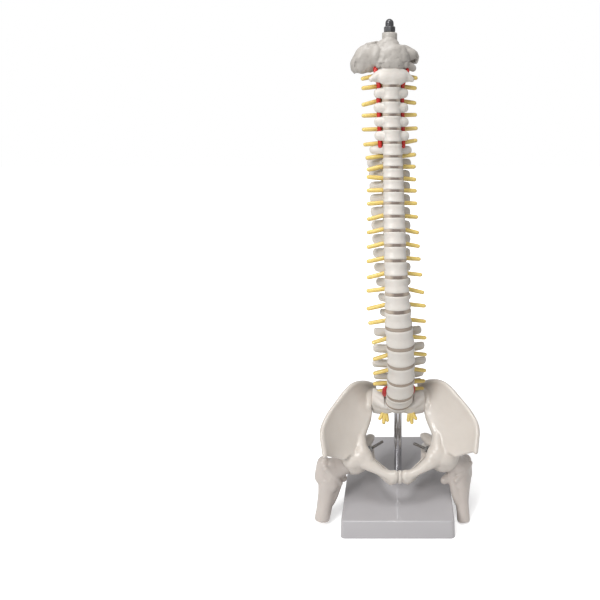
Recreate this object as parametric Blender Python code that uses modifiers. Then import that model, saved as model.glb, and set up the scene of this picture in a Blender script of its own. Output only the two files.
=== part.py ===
"""Half life size model of the human spine with pelvis and thigh bone stumps, on a stand.

Metres, +Z up, the model faces -Y. The origin is the centre of the underside of the base.
The column is modelled straight, with x across, y backwards from the spinal canal and s up
along the canal, and is then bent along the curve that its steel core is set to.
"""
import bpy
import bmesh
import numpy as np
from math import cos, sin, pi, radians
from mathutils import Matrix, Vector

for item in list(bpy.data.objects):
    bpy.data.objects.remove(item, do_unlink=True)

# Clearances
GAP = 0.0003                    # between pieces that touch
SLIDE = 0.0004                  # around a piece that turns or is threaded through another

# Base and rod
BASE_WIDTH = 0.106              # across the top
BASE_DEPTH = 0.140
BASE_HEIGHT = 0.019
BASE_DRAFT = 0.00125            # how far each side spreads towards the bottom
BASE_CORNER = 0.004
BASE_EDGE = 0.0012
ROD_DIAMETER = 0.008
ROD_TOP = 0.112                 # height of the rod's upper end, inside the sacrum
ROD_SEAT = 0.013                # depth of the rod's socket in the base
ROD_CHAMFER = 0.0006

# Core, cord and nerves
CORE_DIAMETER = 0.004
CORE_SEAT = 0.010               # how deep the core stands in the rod
CORD_DIAMETER = 0.0068
NERVE_DIAMETER = 0.0034
NERVE_TIP = 0.0012              # radius at the rounded end
ARTERY_DIAMETER = 0.0033
ARTERY_OUT = 0.0099             # from the middle of the spine
ARTERY_FORWARD = 0.0038

# The column, from the sacrum up
LEVELS = (["L%d" % n for n in range(5, 0, -1)] + ["T%d" % n for n in range(12, 0, -1)]
          + ["C%d" % n for n in range(7, 0, -1)])
CORE_BEND = 0.0085              # length of the core that turns out of the rod
PITCH_L5 = 0.0114
PITCH_LUMBAR = 0.0180
PITCH_T12 = 0.0149
PITCH_T1 = 0.0092
PITCH_CERVICAL = 0.0113
PITCH_C2 = 0.0132
TILTS = {0: 36, 1: 23, 2: 16, 3: 11, 5: 1.5, 7: -6, 9: -12.5, 12: -14, 14: -11, 17: -6.5,
         20: -2.5, 23: 1}       # forward lean in degrees at the discs, counted from below
SWAY = {0: 0.0004, 1: 0.0012, 2.5: 0.0022, 4: 0.0013, 5: -0.0006, 9: -0.0035, 13: -0.0048,
        17: -0.0058, 21: -0.0073, 23: -0.0066}
TURN = {0: 4, 5: 7, 12: 9, 17: 11, 23: 14}      # degrees, the front towards +X

# Sizes of the vertebrae, by level
BODY_WIDTH = {"L5": .0274, "L3": .0266, "L1": .0266, "T12": .0248, "T9": .0206, "T5": .0192,
              "T1": .0178, "C7": .0168, "C6": .0162, "C3": .0160}
BODY_DEPTH = {"L5": .0172, "L1": .0165, "T9": .0152, "T5": .0133, "T1": .0112, "C3": .0100}
BODY_WAIST = {"L5": .94, "L1": .93, "T9": .94, "T1": .96, "C3": .97}
BODY_SIDES = 12
DISC_HEIGHT = {"L5": .0017, "L1": .0015, "T9": .0012, "T1": .0009, "C3": .0009}
DISC_SCALE = 0.955              # a disc is set back from the bone by this share
PROLAPSE_RIGHT = (0.0024, 0.0030, 0.0050)       # half width, depth and height of the bulges
PROLAPSE_LEFT = (0.0013, 0.0022, 0.0044)
PROLAPSE_BACK = -0.0068
CANAL_DEPTH = {"L5": .0048, "T12": .0045, "T9": .0042, "C3": .0042}
CANAL_WIDTH = {"L5": .0062, "L1": .0056, "T9": .0044, "T1": .0048, "C7": .0052, "C3": .0052}
PEDICLE_HALF = {"L5": .0026, "L1": .0021, "T9": .0017, "T1": .0016, "C7": .0014, "C3": .0013}
PEDICLE_LEVEL = {"L5": .62, "T12": .63, "T1": .62, "C7": .52, "C3": .50}
LAMINA_HALF = 0.0012
SIDE_SPAN = {"L5": .046, "L3": .0516, "L2": .0488, "L1": .0446, "T12": .028, "T11": .028,
             "T9": .031, "T6": .033, "T2": .034, "T1": .0374, "C7": .0365, "C6": .0297,
             "C3": .0290, "C2": .0320}
SIDE_ROOT_BACK = {"L5": .0048, "L1": .0042, "T12": .0042, "T9": .0046, "T1": .0044,
                  "C7": -.0020, "C6": -.0050, "C3": -.0050}
SIDE_TIP_BACK = {"L5": .0062, "L1": .0075, "T12": .0090, "T9": .0130, "T1": .0100,
                 "C7": .0020, "C6": -.0050, "C3": -.0050}
SIDE_LEVEL = {"L5": .46, "L4": .34, "L3": .30, "L1": .28, "T12": .42, "T9": .44, "T1": .46,
              "C7": .50, "C6": .50, "C3": .50}
SIDE_RISE = {"L5": .0010, "L1": 0, "T9": .0004, "T1": .0002, "C6": -.0002, "C3": -.0002}
SIDE_THICK = {"L5": .0022, "L1": .0017, "T9": .0021, "T1": .0021, "C7": .0028, "C6": .0029,
              "C3": .0029}
SIDE_TALL = {"L5": .0034, "L3": .0038, "L1": .0038, "T9": .0034, "T1": .0029, "C7": .0030,
             "C6": .0037, "C3": .0037}
SPINE_TIP_BACK = {"L5": .0190, "L3": .0240, "L1": .0230, "T12": .0205, "T9": .0205,
                  "T5": .0200, "T1": .0225, "C7": .0215, "C6": .0160, "C3": .0140}
SPINE_DROP = {"L5": .0005, "L1": .0015, "T12": .0040, "T9": .0095, "T7": .0130, "T5": .0130,
              "T2": .0080, "T1": .0055, "C7": .0040, "C3": .0020}
SPINE_TALL = {"L5": .0024, "L3": .0042, "L1": .0039, "T12": .0030, "T9": .0021, "T1": .0019,
              "C3": .0014}
SPINE_HALF = 0.0013
FACET_HALF = 0.0011
FACET_WIDE = 0.0019
FACET_RISE = 0.07               # of the pitch, above and below the disc

VERTEBRA_TRIANGLES = 216
NERVE_TRIANGLES = 3050

# How far the nerves reach from the cord, and how many degrees each one droops, from the
# lowest (L5) up to C2
NERVE_REACH = {"L5": .0245, "L1": .0245, "T12": .0265, "T9": .0235, "T5": .0215, "T1": .0205,
               "C6": .0235, "C3": .0225, "C1": .0235}
NERVE_DROOP_RIGHT = [12, 2, 14, 16, 15, 7, 11, 5, 13, 11, 13, 12, 14, 5, 2, -4, 13, 8, 6, 2,
                     3, 14, 7, 12]
NERVE_DROOP_LEFT = [8, 3, 16, 10, 8, 10, 9, 15, 7, 4, 10, 12, 4, 2, 2, 5, 0, -6, -9, -3,
                    -1, 7, 6, 9]
NERVE_RISE = {"L5": .14, "T12": .12, "T1": .10, "C7": 0, "C3": 0}

# Top of the column
ATLAS_HEIGHT = 0.0098
DENS_RADIUS = 0.0024
COLLAR_DIAMETER = 0.0122
COLLAR_HEIGHT = 0.0075
NUT_ACROSS = 0.0082
NUT_HEIGHT = 0.0040
DOME_DIAMETER = 0.0067
CAP_HEIGHT = 0.0096

# Pelvis
PELVIS_TURN = 2.5               # degrees, the front towards +X
HIP_OUT = 0.0450                # centre of the hip socket
HIP_FORWARD = 0.0280
HIP_HEIGHT = 0.0585
HEAD_RADIUS = 0.0118            # ball of the thigh bone
STUD_DIAMETER = 0.0030
STUD_LENGTH = 0.0300
STUD_SEAT = 0.0060              # how deep the stud stands in the ball
STUD_AIM_RIGHT = (16.3, 11.5, 4.0)      # inwards, backwards and up
STUD_AIM_LEFT = (18.6, 12.0, 1.6)
FEMUR_RIGHT = (22, 0, 3)        # degrees: neck turned forward, neck tipped up, shaft forward
FEMUR_LEFT = (-25, -31, 25)
FOOT_CLEARANCE = 0.0014         # height at which a long stump is cut off level
HIP_NUT_PLACE = 0.0193          # from the ball's centre
HIP_NUT_ACROSS = 0.0055
HIP_NUT_HEIGHT = 0.0024
SYMPHYSIS_HALF = 0.0016

BONE_FINISH = ((0.60, 0.55, 0.48), 0.38)
PELVIS_FINISH = ((0.52, 0.47, 0.41), 0.30)
DISC_FINISH = ((0.36, 0.27, 0.20), 0.55)
BASE_FINISH = ((0.42, 0.42, 0.43), 0.25)
NERVE_FINISH = ((0.66, 0.50, 0.10), 0.45)
ARTERY_FINISH = ((0.60, 0.02, 0.02), 0.35)
STEEL_FINISH = ((0.55, 0.56, 0.58), 0.15)
NUT_FINISH = ((0.045, 0.045, 0.05), 0.35)

MODEL = bpy.data.collections.new("spine_anatomy_model")
CUTTERS = bpy.data.collections.new("cutters")
for group in (MODEL, CUTTERS):
    bpy.context.scene.collection.children.link(group)


def material(name, finish, metallic=0.0):
    """One plain Principled finish."""
    shade = bpy.data.materials.new(name)
    shade.use_nodes = True
    surface = shade.node_tree.nodes["Principled BSDF"]
    surface.inputs["Base Color"].default_value = (*finish[0], 1.0)
    surface.inputs["Roughness"].default_value = finish[1]
    surface.inputs["Metallic"].default_value = metallic
    return shade


BONE = material("bone_plastic", BONE_FINISH)
PELVIS = material("pelvis_plastic", PELVIS_FINISH)
DISC = material("disc_rubber", DISC_FINISH)
BASE = material("base_plastic", BASE_FINISH)
NERVE = material("nerve_rubber", NERVE_FINISH)
ARTERY = material("artery_rubber", ARTERY_FINISH)
STEEL = material("plated_steel", STEEL_FINISH, 1.0)
NUT = material("dark_nut", NUT_FINISH, 0.6)


def at(x, forward, z):
    """A place from across, forward of the rod, and up."""
    return Vector((x, -forward, z))


def place(name, mesh, finish, group=MODEL):
    """Put a mesh into the scene as a named object."""
    mesh.materials.clear()
    mesh.materials.append(finish)
    item = bpy.data.objects.new(name, mesh)
    group.objects.link(item)
    if group is CUTTERS:
        item.hide_render = True
        item.display_type = "WIRE"
    else:
        mesh.shade_smooth()
        mesh.set_sharp_from_angle(angle=radians(35))
    return item


def loft(rings, closed=False):
    """Skin a row of rings with the same number of points, with flat ends."""
    form = bmesh.new()
    rows = [[form.verts.new(p) for p in ring] for ring in rings]
    count = len(rows[0])
    pairs = list(zip(rows, rows[1:]))
    if closed:
        pairs.append((rows[-1], rows[0]))
    for low, high in pairs:
        for i in range(count):
            j = (i + 1) % count
            form.faces.new((low[i], low[j], high[j], high[i]))
    if not closed:
        form.faces.new(rows[0][::-1])
        form.faces.new(rows[-1])
    bmesh.ops.recalc_face_normals(form, faces=form.faces)
    mesh = bpy.data.meshes.new("loft")
    form.to_mesh(mesh)
    form.free()
    return mesh


def limb(path, halves, sides=6, up=(0, 0, 1)):
    """A tapering bar along a path. Each half is (half width, half height)."""
    path = [Vector(p) for p in path]
    reach = 1 / cos(pi / 4) if sides == 4 else 1.0
    rings = []
    for i, (centre, half) in enumerate(zip(path, halves)):
        before = path[max(i - 1, 0)]
        after = path[min(i + 1, len(path) - 1)]
        along = (after - before).normalized()
        side = along.cross(Vector(up)).normalized()
        rise = side.cross(along).normalized()
        angles = [2 * pi * (n + 0.5) / sides for n in range(sides)]
        rings.append([centre + side * half[0] * reach * cos(a) + rise * half[1] * reach * sin(a)
                      for a in angles])
    return loft(rings)


def rounded_limb(path, radii, sides=12):
    """A bar with domed ends, for the forms that are blended into one bone."""
    path = [Vector(p) for p in path]
    first = (path[0] - path[1]).normalized()
    last = (path[-1] - path[-2]).normalized()
    dome = [(0.99, 0.15), (0.85, 0.52), (0.50, 0.86)]
    points = [path[0] + first * radii[0] * out for out, _ in dome]
    sizes = [radii[0] * wide for _, wide in dome]
    points += path
    sizes += radii
    points += [path[-1] + last * radii[-1] * out for out, _ in reversed(dome)]
    sizes += [radii[-1] * wide for _, wide in reversed(dome)]
    up = (0, 0, 1) if abs(first.z) < 0.9 else (0, 1, 0)
    return limb(points, [(r, r) for r in sizes], sides, up)


def ball(centre, radius, rings=12, squash=(1, 1, 1)):
    """A sphere, or an ellipsoid when squashed."""
    form = bmesh.new()
    shape = Matrix.Translation(centre) @ Matrix.Diagonal((*(radius * k for k in squash), 1))
    bmesh.ops.create_uvsphere(form, u_segments=2 * rings, v_segments=rings, radius=1,
                              matrix=shape)
    mesh = bpy.data.meshes.new("ball")
    form.to_mesh(mesh)
    form.free()
    return mesh


def bar(start, end, radius, sides=16, twist=0.0):
    """A straight round or polygonal bar from one point to another."""
    start, end = Vector(start), Vector(end)
    along = end - start
    turn = along.to_track_quat("Z", "Y").to_matrix().to_4x4()
    form = bmesh.new()
    bmesh.ops.create_cone(form, cap_ends=True, segments=sides, radius1=radius, radius2=radius,
                          depth=along.length,
                          matrix=Matrix.Translation((start + end) / 2) @ turn
                          @ Matrix.Rotation(twist, 4, "Z"))
    mesh = bpy.data.meshes.new("bar")
    form.to_mesh(mesh)
    form.free()
    return mesh


def block(low, high):
    """A box between two corners."""
    low, high = Vector(low), Vector(high)
    form = bmesh.new()
    size = high - low
    bmesh.ops.create_cube(form, size=1, matrix=Matrix.Translation((low + high) / 2)
                          @ Matrix.Diagonal((*size, 1)))
    mesh = bpy.data.meshes.new("block")
    form.to_mesh(mesh)
    form.free()
    return mesh


def turned(profile, steps):
    """A solid turned about the Z axis from (radius, height) points, top to bottom."""
    form = bmesh.new()
    ring = profile[0] == profile[-1]
    points = [form.verts.new((r, 0, z)) for r, z in (profile[:-1] if ring else profile)]
    if ring:
        points.append(points[0])
    for upper, lower in zip(points, points[1:]):
        form.edges.new((upper, lower))
    mesh = bpy.data.meshes.new("profile")
    form.to_mesh(mesh)
    form.free()
    item = bpy.data.objects.new("turning", mesh)
    CUTTERS.objects.link(item)
    screw = item.modifiers.new("turn", "SCREW")
    screw.steps = screw.render_steps = steps
    screw.use_merge_vertices = True
    screw.merge_threshold = 0.00001
    return settle(item)


def settle(item):
    """Take an object's finished mesh and remove the object."""
    graph = bpy.context.evaluated_depsgraph_get()
    graph.update()
    mesh = bpy.data.meshes.new_from_object(item.evaluated_get(graph))
    bpy.data.objects.remove(item, do_unlink=True)
    return mesh


def combine(mesh, others, operation):
    """Join meshes to one, or cut them out of it."""
    if not others:
        return mesh
    item = bpy.data.objects.new("blank", mesh)
    bpy.context.scene.collection.objects.link(item)
    tools = bpy.data.collections.new("tools")
    bpy.context.scene.collection.children.link(tools)
    for other in others:
        tools.objects.link(bpy.data.objects.new("tool", other))
    change = item.modifiers.new("change", "BOOLEAN")
    change.operation = operation
    change.operand_type = "COLLECTION"
    change.collection = tools
    change.solver = "EXACT"
    result = settle(item)
    for tool in list(tools.objects):
        bpy.data.objects.remove(tool, do_unlink=True)
    bpy.data.collections.remove(tools)
    return result


def closed(mesh):
    """Whether every edge of a mesh has a face on both sides."""
    form = bmesh.new()
    form.from_mesh(mesh)
    whole = all(len(edge.link_faces) == 2 for edge in form.edges)
    form.free()
    return whole


def thin_out(mesh, triangles):
    """Drop the points that shape a solid least, down to about so many triangles."""
    mesh.calc_loop_triangles()
    full = len(mesh.loop_triangles)
    for target in range(triangles, full, 10):
        item = bpy.data.objects.new("solid", mesh.copy())
        bpy.context.scene.collection.objects.link(item)
        thin = item.modifiers.new("thin", "DECIMATE")
        thin.ratio = target / full
        thin.use_collapse_triangulate = True
        result = settle(item)
        if closed(result):
            return result
    return mesh


def unite(meshes):
    """One solid out of overlapping solids."""
    return combine(meshes[0], meshes[1:], "UNION")


def cut(mesh, cutters):
    """A solid less its cutters."""
    return combine(mesh, cutters, "DIFFERENCE")


def blend(meshes, voxel, rounds, triangles):
    """Melt rough forms into one smooth bone with about so many triangles."""
    form = bmesh.new()
    for mesh in meshes:
        form.from_mesh(mesh)
    joined = bpy.data.meshes.new("forms")
    form.to_mesh(joined)
    form.free()
    item = bpy.data.objects.new("bone", joined)
    bpy.context.scene.collection.objects.link(item)
    melt = item.modifiers.new("melt", "REMESH")
    melt.mode = "VOXEL"
    melt.voxel_size = voxel
    soften = item.modifiers.new("soften", "SMOOTH")
    soften.factor = 0.5
    soften.iterations = rounds
    return thin_out(settle(item), triangles)


# The spine's curve: the core leaves the rod upright and then follows the leaning levels
def pitch_of(level):
    """Height of one vertebra with its disc, along the canal."""
    if level == "L5":
        return PITCH_L5
    if level[0] == "L":
        return PITCH_LUMBAR
    if level[0] == "T":
        share = (int(level[1:]) - 1) / 11
        return PITCH_T1 + (PITCH_T12 - PITCH_T1) * share
    if level == "C2":
        return PITCH_C2
    return PITCH_CERVICAL


def curve_through(table, places):
    """Read a table of chosen points at any place, straight between them."""
    keys = sorted(table)
    return np.interp(places, keys, [table[key] for key in keys])


STOPS = np.concatenate([[0.0], np.cumsum([pitch_of(name) for name in LEVELS[:-1]])])
STEP = 0.0001
REACH = STOPS[-1] + 2 * ATLAS_HEIGHT + 0.03
FINE = np.arange(-CORE_BEND, REACH, STEP)
LEAN = np.radians(np.interp(FINE, np.concatenate([[-CORE_BEND], STOPS]),
                            np.concatenate([[0.0], curve_through(TILTS, range(24))])))
HALF_LEAN = (LEAN[1:] + LEAN[:-1]) / 2
FORWARD = np.concatenate([[0.0], np.cumsum(np.sin(HALF_LEAN) * STEP)])
HEIGHT = ROD_TOP + np.concatenate([[0.0], np.cumsum(np.cos(HALF_LEAN) * STEP)])


def stop_number(s):
    """Place along the column, counted in levels."""
    return np.interp(s, STOPS, np.arange(len(STOPS)))


def frame_at(s):
    """Origin, across, back and up directions at one height along the canal."""
    held = min(max(s, 0.0), STOPS[-1])
    number = stop_number(held)
    lean = np.interp(held, FINE, LEAN)
    turn = radians(curve_through(TURN, number))
    origin = Vector((float(curve_through(SWAY, number)), -float(np.interp(held, FINE, FORWARD)),
                     float(np.interp(held, FINE, HEIGHT))))
    up = Vector((0, -sin(lean), cos(lean)))
    level_back = Vector((0, cos(lean), sin(lean)))
    across = Vector((1, 0, 0)) * cos(turn) + level_back * sin(turn)
    back = level_back * cos(turn) - Vector((1, 0, 0)) * sin(turn)
    return origin + up * (s - held), across, back, up


def bend_point(point):
    """Move one point from the straight column to the curved one."""
    origin, across, back, _ = frame_at(point[2])
    return origin + across * point[0] + back * point[1]


def bend(mesh):
    """Bend a mesh that was modelled straight."""
    form = bmesh.new()
    form.from_mesh(mesh)
    bmesh.ops.triangulate(form, faces=form.faces, quad_method="BEAUTY", ngon_method="EAR_CLIP")
    for vertex in form.verts:
        vertex.co = bend_point(vertex.co)
    form.to_mesh(mesh)
    form.free()
    return mesh


def core_point(s):
    """The core's own path, which goes on from the column down into the rod."""
    if s >= 0:
        return bend_point((0, 0, s))
    if s <= -CORE_BEND:
        return Vector((0, 0, ROD_TOP + CORE_BEND + s))
    share = (s + CORE_BEND) / CORE_BEND
    side = float(curve_through(SWAY, 0)) * share
    return Vector((side, -float(np.interp(s, FINE, FORWARD)), float(np.interp(s, FINE, HEIGHT))))


def size_at(table, number):
    """Read a size table by level. A vertebra's middle is half a count above its disc."""
    places = {LEVELS.index(name) + 0.5: value for name, value in table.items()}
    return float(curve_through(places, number))


# Vertebrae and discs
def body_ring(number, s, scale=1.0, sides=BODY_SIDES):
    """The outline of a vertebral body: a deep curve in front and a flat back."""
    width = size_at(BODY_WIDTH, number) * scale
    depth = size_at(BODY_DEPTH, number)
    middle = -size_at(CANAL_DEPTH, number) - 0.38 * depth
    ring = []
    for n in range(sides):
        angle = 2 * pi * (n + 0.5) / sides
        sweep = sin(angle)
        reach = 0.38 * depth * sweep ** 0.7 if sweep > 0 else 0.62 * depth * sweep
        ring.append((width / 2 * cos(angle), middle + reach * scale, s))
    return ring


def disc_height(number):
    """A disc's height where it lies."""
    return size_at(DISC_HEIGHT, number)


def body(index, own_disc):
    """One vertebral body, on its own disc where that is moulded on."""
    number = index + 0.5
    low = STOPS[index] + disc_height(index) / 2 + GAP
    high = STOPS[index + 1] - disc_height(index + 1) / 2 - GAP
    rings = []
    if own_disc:
        rings.append(body_ring(index, STOPS[index] - disc_height(index) / 2, DISC_SCALE))
        rings.append(body_ring(index, low, DISC_SCALE))
    rings.append(body_ring(index + 0.15, low))
    rings.append(body_ring(number, (low + high) / 2, size_at(BODY_WAIST, number)))
    rings.append(body_ring(index + 0.85, high))
    return loft(rings)


def arch(index):
    """Pedicles and laminae in one bow around the canal."""
    number = index + 0.5
    pitch = STOPS[index + 1] - STOPS[index]
    deep = size_at(CANAL_DEPTH, number)
    half = size_at(PEDICLE_HALF, number)
    out = size_at(CANAL_WIDTH, number) + half
    root = STOPS[index] + size_at(PEDICLE_LEVEL, number) * pitch
    plate = STOPS[index] + 0.47 * pitch
    turn_half = (half + LAMINA_HALF) / 2
    right = [((out, -deep - 0.0015, root), (half, 0.18 * pitch)),
             ((out, 0.0010, root), (half, 0.19 * pitch)),
             ((out * 0.80, deep + 0.0016, (root + plate) / 2), (turn_half, 0.22 * pitch))]
    middle = [((0, deep + LAMINA_HALF * 2.2, plate), (LAMINA_HALF, 0.24 * pitch))]
    left = [((-x, y, s), size) for (x, y, s), size in reversed(right)]
    stations = right + middle + left
    return limb([p for p, _ in stations], [size for _, size in stations], sides=4)


def side_process(index, sign):
    """One transverse process, flat in the neck where the artery goes through it."""
    number = index + 0.5
    pitch = STOPS[index + 1] - STOPS[index]
    level = STOPS[index] + size_at(SIDE_LEVEL, number) * pitch
    root = size_at(CANAL_WIDTH, number) + size_at(PEDICLE_HALF, number) - 0.0004
    root_back = size_at(SIDE_ROOT_BACK, number)
    tip = size_at(SIDE_SPAN, number) / 2
    tip_back = size_at(SIDE_TIP_BACK, number)
    rise = size_at(SIDE_RISE, number)
    thick = size_at(SIDE_THICK, number)
    tall = size_at(SIDE_TALL, number)
    share = 0.55
    path = [(sign * root, root_back, level),
            (sign * (root + (tip - root) * share), root_back + (tip_back - root_back) * share,
             level + rise * share)]
    tip_place = (sign * (tip - thick * 0.6), tip_back, level + rise)
    blunt = (tip_place[0] + sign * thick * 0.6, tip_place[1], tip_place[2])
    path = path[:2] + [tip_place, blunt]
    return limb(path, [(thick * 0.85, tall * 0.8), (thick, tall), (thick * 0.9, tall * 0.85),
                       (thick * 0.5, tall * 0.5)])


def spine_process(index):
    """The spinous process, drooping in the chest and broad in the loins."""
    number = index + 0.5
    pitch = STOPS[index + 1] - STOPS[index]
    root = STOPS[index] + 0.47 * pitch
    start = size_at(CANAL_DEPTH, number) + LAMINA_HALF * 1.6
    tip = size_at(SPINE_TIP_BACK, number)
    drop = size_at(SPINE_DROP, number)
    tall = size_at(SPINE_TALL, number)
    middle = (start + tip) / 2
    path = [(0, start, root), (0, middle, root - drop * 0.45), (0, tip, root - drop)]
    halves = [(SPINE_HALF, tall * 0.9), (SPINE_HALF, tall), (SPINE_HALF * 1.2, tall * 0.8)]
    return limb(path, halves, sides=4)


def facet_place(number):
    """Across and back for the joint between two neighbours, at a disc's level."""
    out = size_at(CANAL_WIDTH, number) + size_at(PEDICLE_HALF, number)
    return out, size_at(CANAL_DEPTH, number) + FACET_HALF * 0.9


def facets(index, sign, own_upper=True):
    """The upper and lower joint process of one side."""
    pitch = STOPS[index + 1] - STOPS[index]
    plate = STOPS[index] + 0.47 * pitch
    pieces = []
    if own_upper:
        out, back = facet_place(index + 1)
        top = STOPS[index + 1] + FACET_RISE * pitch
        pieces.append(block((sign * out - FACET_WIDE, back - FACET_HALF, plate),
                            (sign * out + FACET_WIDE, back + FACET_HALF, top)))
    out, back = facet_place(index)
    back += 2 * FACET_HALF + 2 * GAP
    bottom = STOPS[index] - FACET_RISE * pitch * 0.6
    pieces.append(block((sign * out * 0.86 - FACET_WIDE, back - FACET_HALF, bottom),
                        (sign * out * 0.86 + FACET_WIDE, back + FACET_HALF, plate)))
    return pieces


def nerve_level(index):
    """Where along the column the nerve under a level leaves."""
    if index == 23:
        return STOPS[23] - 0.0020
    pitch = STOPS[index + 1] - STOPS[index]
    return STOPS[index] + size_at(NERVE_RISE, index) * pitch


def artery_path(index):
    """Where the artery passes at one stop: further out at the atlas."""
    out = {0: ARTERY_OUT, 22: ARTERY_OUT, 23: ARTERY_OUT + 0.0010, 24: ARTERY_OUT + 0.0020}
    return float(curve_through(out, index)), -ARTERY_FORWARD


def artery_bar(sign, extra=0.0):
    """One vertebral artery on the straight column, or its hole when made thicker."""
    path = [(sign * ARTERY_OUT, -ARTERY_FORWARD, STOPS[18] - 0.0030)]
    for index in (19, 20, 21, 22, 23):
        out, back = artery_path(index)
        path.append((sign * out, back, STOPS[index]))
    out, back = artery_path(23.6)
    path.append((sign * out, back, STOPS[23] + 0.0080))
    radius = ARTERY_DIAMETER / 2 + extra
    if extra:
        path[0] = (path[0][0], path[0][1], path[0][2] - 0.004)
        path.append((path[-1][0], path[-1][1], path[-1][2] + 0.004))
    return limb(path, [(radius, radius)] * len(path), sides=6, up=(0, 1, 0))


def vertebra(index):
    """One vertebra, modelled straight and then bent with the column."""
    own_disc = LEVELS[index][0] == "C"
    parts = [body(index, own_disc), arch(index), spine_process(index)]
    for sign in (-1, 1):
        parts.append(side_process(index, sign))
        parts += facets(index, sign)
    size = VERTEBRA_TRIANGLES + (60 if index == 0 else 0)
    solid = thin_out(unite(parts), size)
    solid.calc_loop_triangles()
    if len(solid.loop_triangles) > 1.3 * size:
        solid = blend(parts, 0.0004, 0, size)       # a torn edge: melt the forms instead
    if 18 <= index <= 21:
        solid = cut(solid, [artery_bar(sign, SLIDE) for sign in (-1, 1)])
    return bend(solid)


def disc(index):
    """One disc, set back a little from the bodies above and below."""
    half = disc_height(index) / 2
    rings = [body_ring(index, STOPS[index] + side * half, DISC_SCALE) for side in (-1, 1)]
    solid = loft(rings)
    if index == 1:
        edge = size_at(BODY_WIDTH, 1) / 2
        bulges = []
        for (wide, deep, tall), side in ((PROLAPSE_RIGHT, -1), (PROLAPSE_LEFT, 1)):
            middle = Vector((side * (edge + GAP + wide), PROLAPSE_BACK, STOPS[1] - tall * 0.8))
            bulges.append(ball(middle, 1, 5, (wide, deep, tall)))
            bulges.append(block((side * (edge - 0.003), PROLAPSE_BACK - 0.0012, STOPS[1] - half),
                                (side * (edge + GAP + wide), PROLAPSE_BACK + 0.0012,
                                 STOPS[1] + half)))
        solid = unite([solid] + bulges)
    return bend(solid)


def axis():
    """C2: a body with broad shoulders, the dens on top and a stout forked spine."""
    index = 22
    low = STOPS[22] + disc_height(22) / 2 + GAP
    top = STOPS[22] + 0.0096
    rings = [body_ring(22, STOPS[22] - disc_height(22) / 2, DISC_SCALE),
             body_ring(22, low, DISC_SCALE), body_ring(22, low), body_ring(22, top)]
    deep = size_at(CANAL_DEPTH, 22.5)
    dens_back = -deep - DENS_RADIUS - 0.0016
    shoulder = top - 0.0014
    dens = limb([(0, dens_back, top - 0.003), (0, dens_back, STOPS[23] + 0.004),
                 (0, dens_back, STOPS[23] + 0.0065)],
                [(DENS_RADIUS,) * 2, (DENS_RADIUS,) * 2, (DENS_RADIUS * 0.6,) * 2],
                sides=8, up=(0, 1, 0))
    wing_back = -deep - 0.0032
    wings = limb([(-0.0156, wing_back, shoulder - 0.0040), (-0.0080, wing_back, shoulder - 0.0012),
                  (0.0080, wing_back, shoulder - 0.0012), (0.0156, wing_back, shoulder - 0.0040)],
                 [(0.0020, 0.0016), (0.0026, 0.0026), (0.0026, 0.0026), (0.0020, 0.0016)])
    parts = [loft(rings), dens, wings, arch(index), spine_process(index)]
    for sign in (-1, 1):
        parts.append(side_process(index, sign))
        parts += facets(index, sign, own_upper=False)
    solid = blend(parts, 0.0004, 1, VERTEBRA_TRIANGLES + 120)
    return bend(cut(solid, [artery_bar(sign, SLIDE) for sign in (-1, 1)]))


def atlas():
    """C1: a ring without a body, its thick side masses under the skull piece."""
    level = STOPS[23] + 0.0046
    deep = size_at(CANAL_DEPTH, 23)
    front = -deep - 2 * DENS_RADIUS - 0.0016 - 0.0016 - SLIDE
    right = [((0.0052, front + 0.0010), (0.0016, 0.0044)),
             ((0.0094, -0.0056), (0.0030, 0.0049)),
             ((0.0100, 0.0010), (0.0014, 0.0020)),
             ((0.0066, 0.0082), (0.0013, 0.0020))]
    ring = [((0, front), (0.0015, 0.0046))] + right
    ring += [((0, 0.0108), (0.0015, 0.0022))]
    ring += [((-x, y), half) for (x, y), half in reversed(right)]
    sections = []
    for i, ((x, y), (wide, tall)) in enumerate(ring):
        (x0, y0), (x1, y1) = ring[i - 1][0], ring[(i + 1) % len(ring)][0]
        along = Vector((x1 - x0, y1 - y0, 0)).normalized()
        out = Vector((along.y, -along.x, 0))
        centre = Vector((x, y, level))
        sections.append([centre + out * wide * a + Vector((0, 0, tall * b))
                         for a, b in ((1, 0.6), (0.6, 1), (-0.6, 1), (-1, 0.6),
                                      (-1, -0.6), (-0.6, -1), (0.6, -1), (1, -0.6))])
    parts = [loft(sections, closed=True)]
    for sign in (-1, 1):
        path = [(sign * 0.0092, -0.0040, level), (sign * 0.0150, -0.0035, level - 0.0004),
                (sign * 0.0200, -0.0020, level - 0.0010), (sign * 0.0216, -0.0018, level - 0.0010)]
        parts.append(limb(path, [(0.0030, 0.0030), (0.0030, 0.0028), (0.0024, 0.0026),
                                 (0.0012, 0.0014)]))
    solid = thin_out(unite(parts), VERTEBRA_TRIANGLES)
    return bend(cut(solid, [artery_bar(sign, SLIDE) for sign in (-1, 1)]))


def tube(radius, places, sides, bore=0.0):
    """A tube or bar along the core's path."""
    rings = []
    for s in places:
        before, after = core_point(s - 0.0004), core_point(s + 0.0004)
        up = (after - before).normalized()
        side = Vector((1, 0, 0))
        side = (side - up * side.dot(up)).normalized()
        back = up.cross(side)
        centre = core_point(s)
        rings.append((centre, side, back))
    def ring(item, reach):
        centre, side, back = item
        return [centre + (side * cos(a) + back * sin(a)) * reach
                for a in (2 * pi * n / sides for n in range(sides))]
    rows = [ring(item, radius) for item in rings]
    if bore:
        rows += [ring(item, bore) for item in reversed(rings)]
    return loft(rows, closed=bool(bore))


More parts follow.
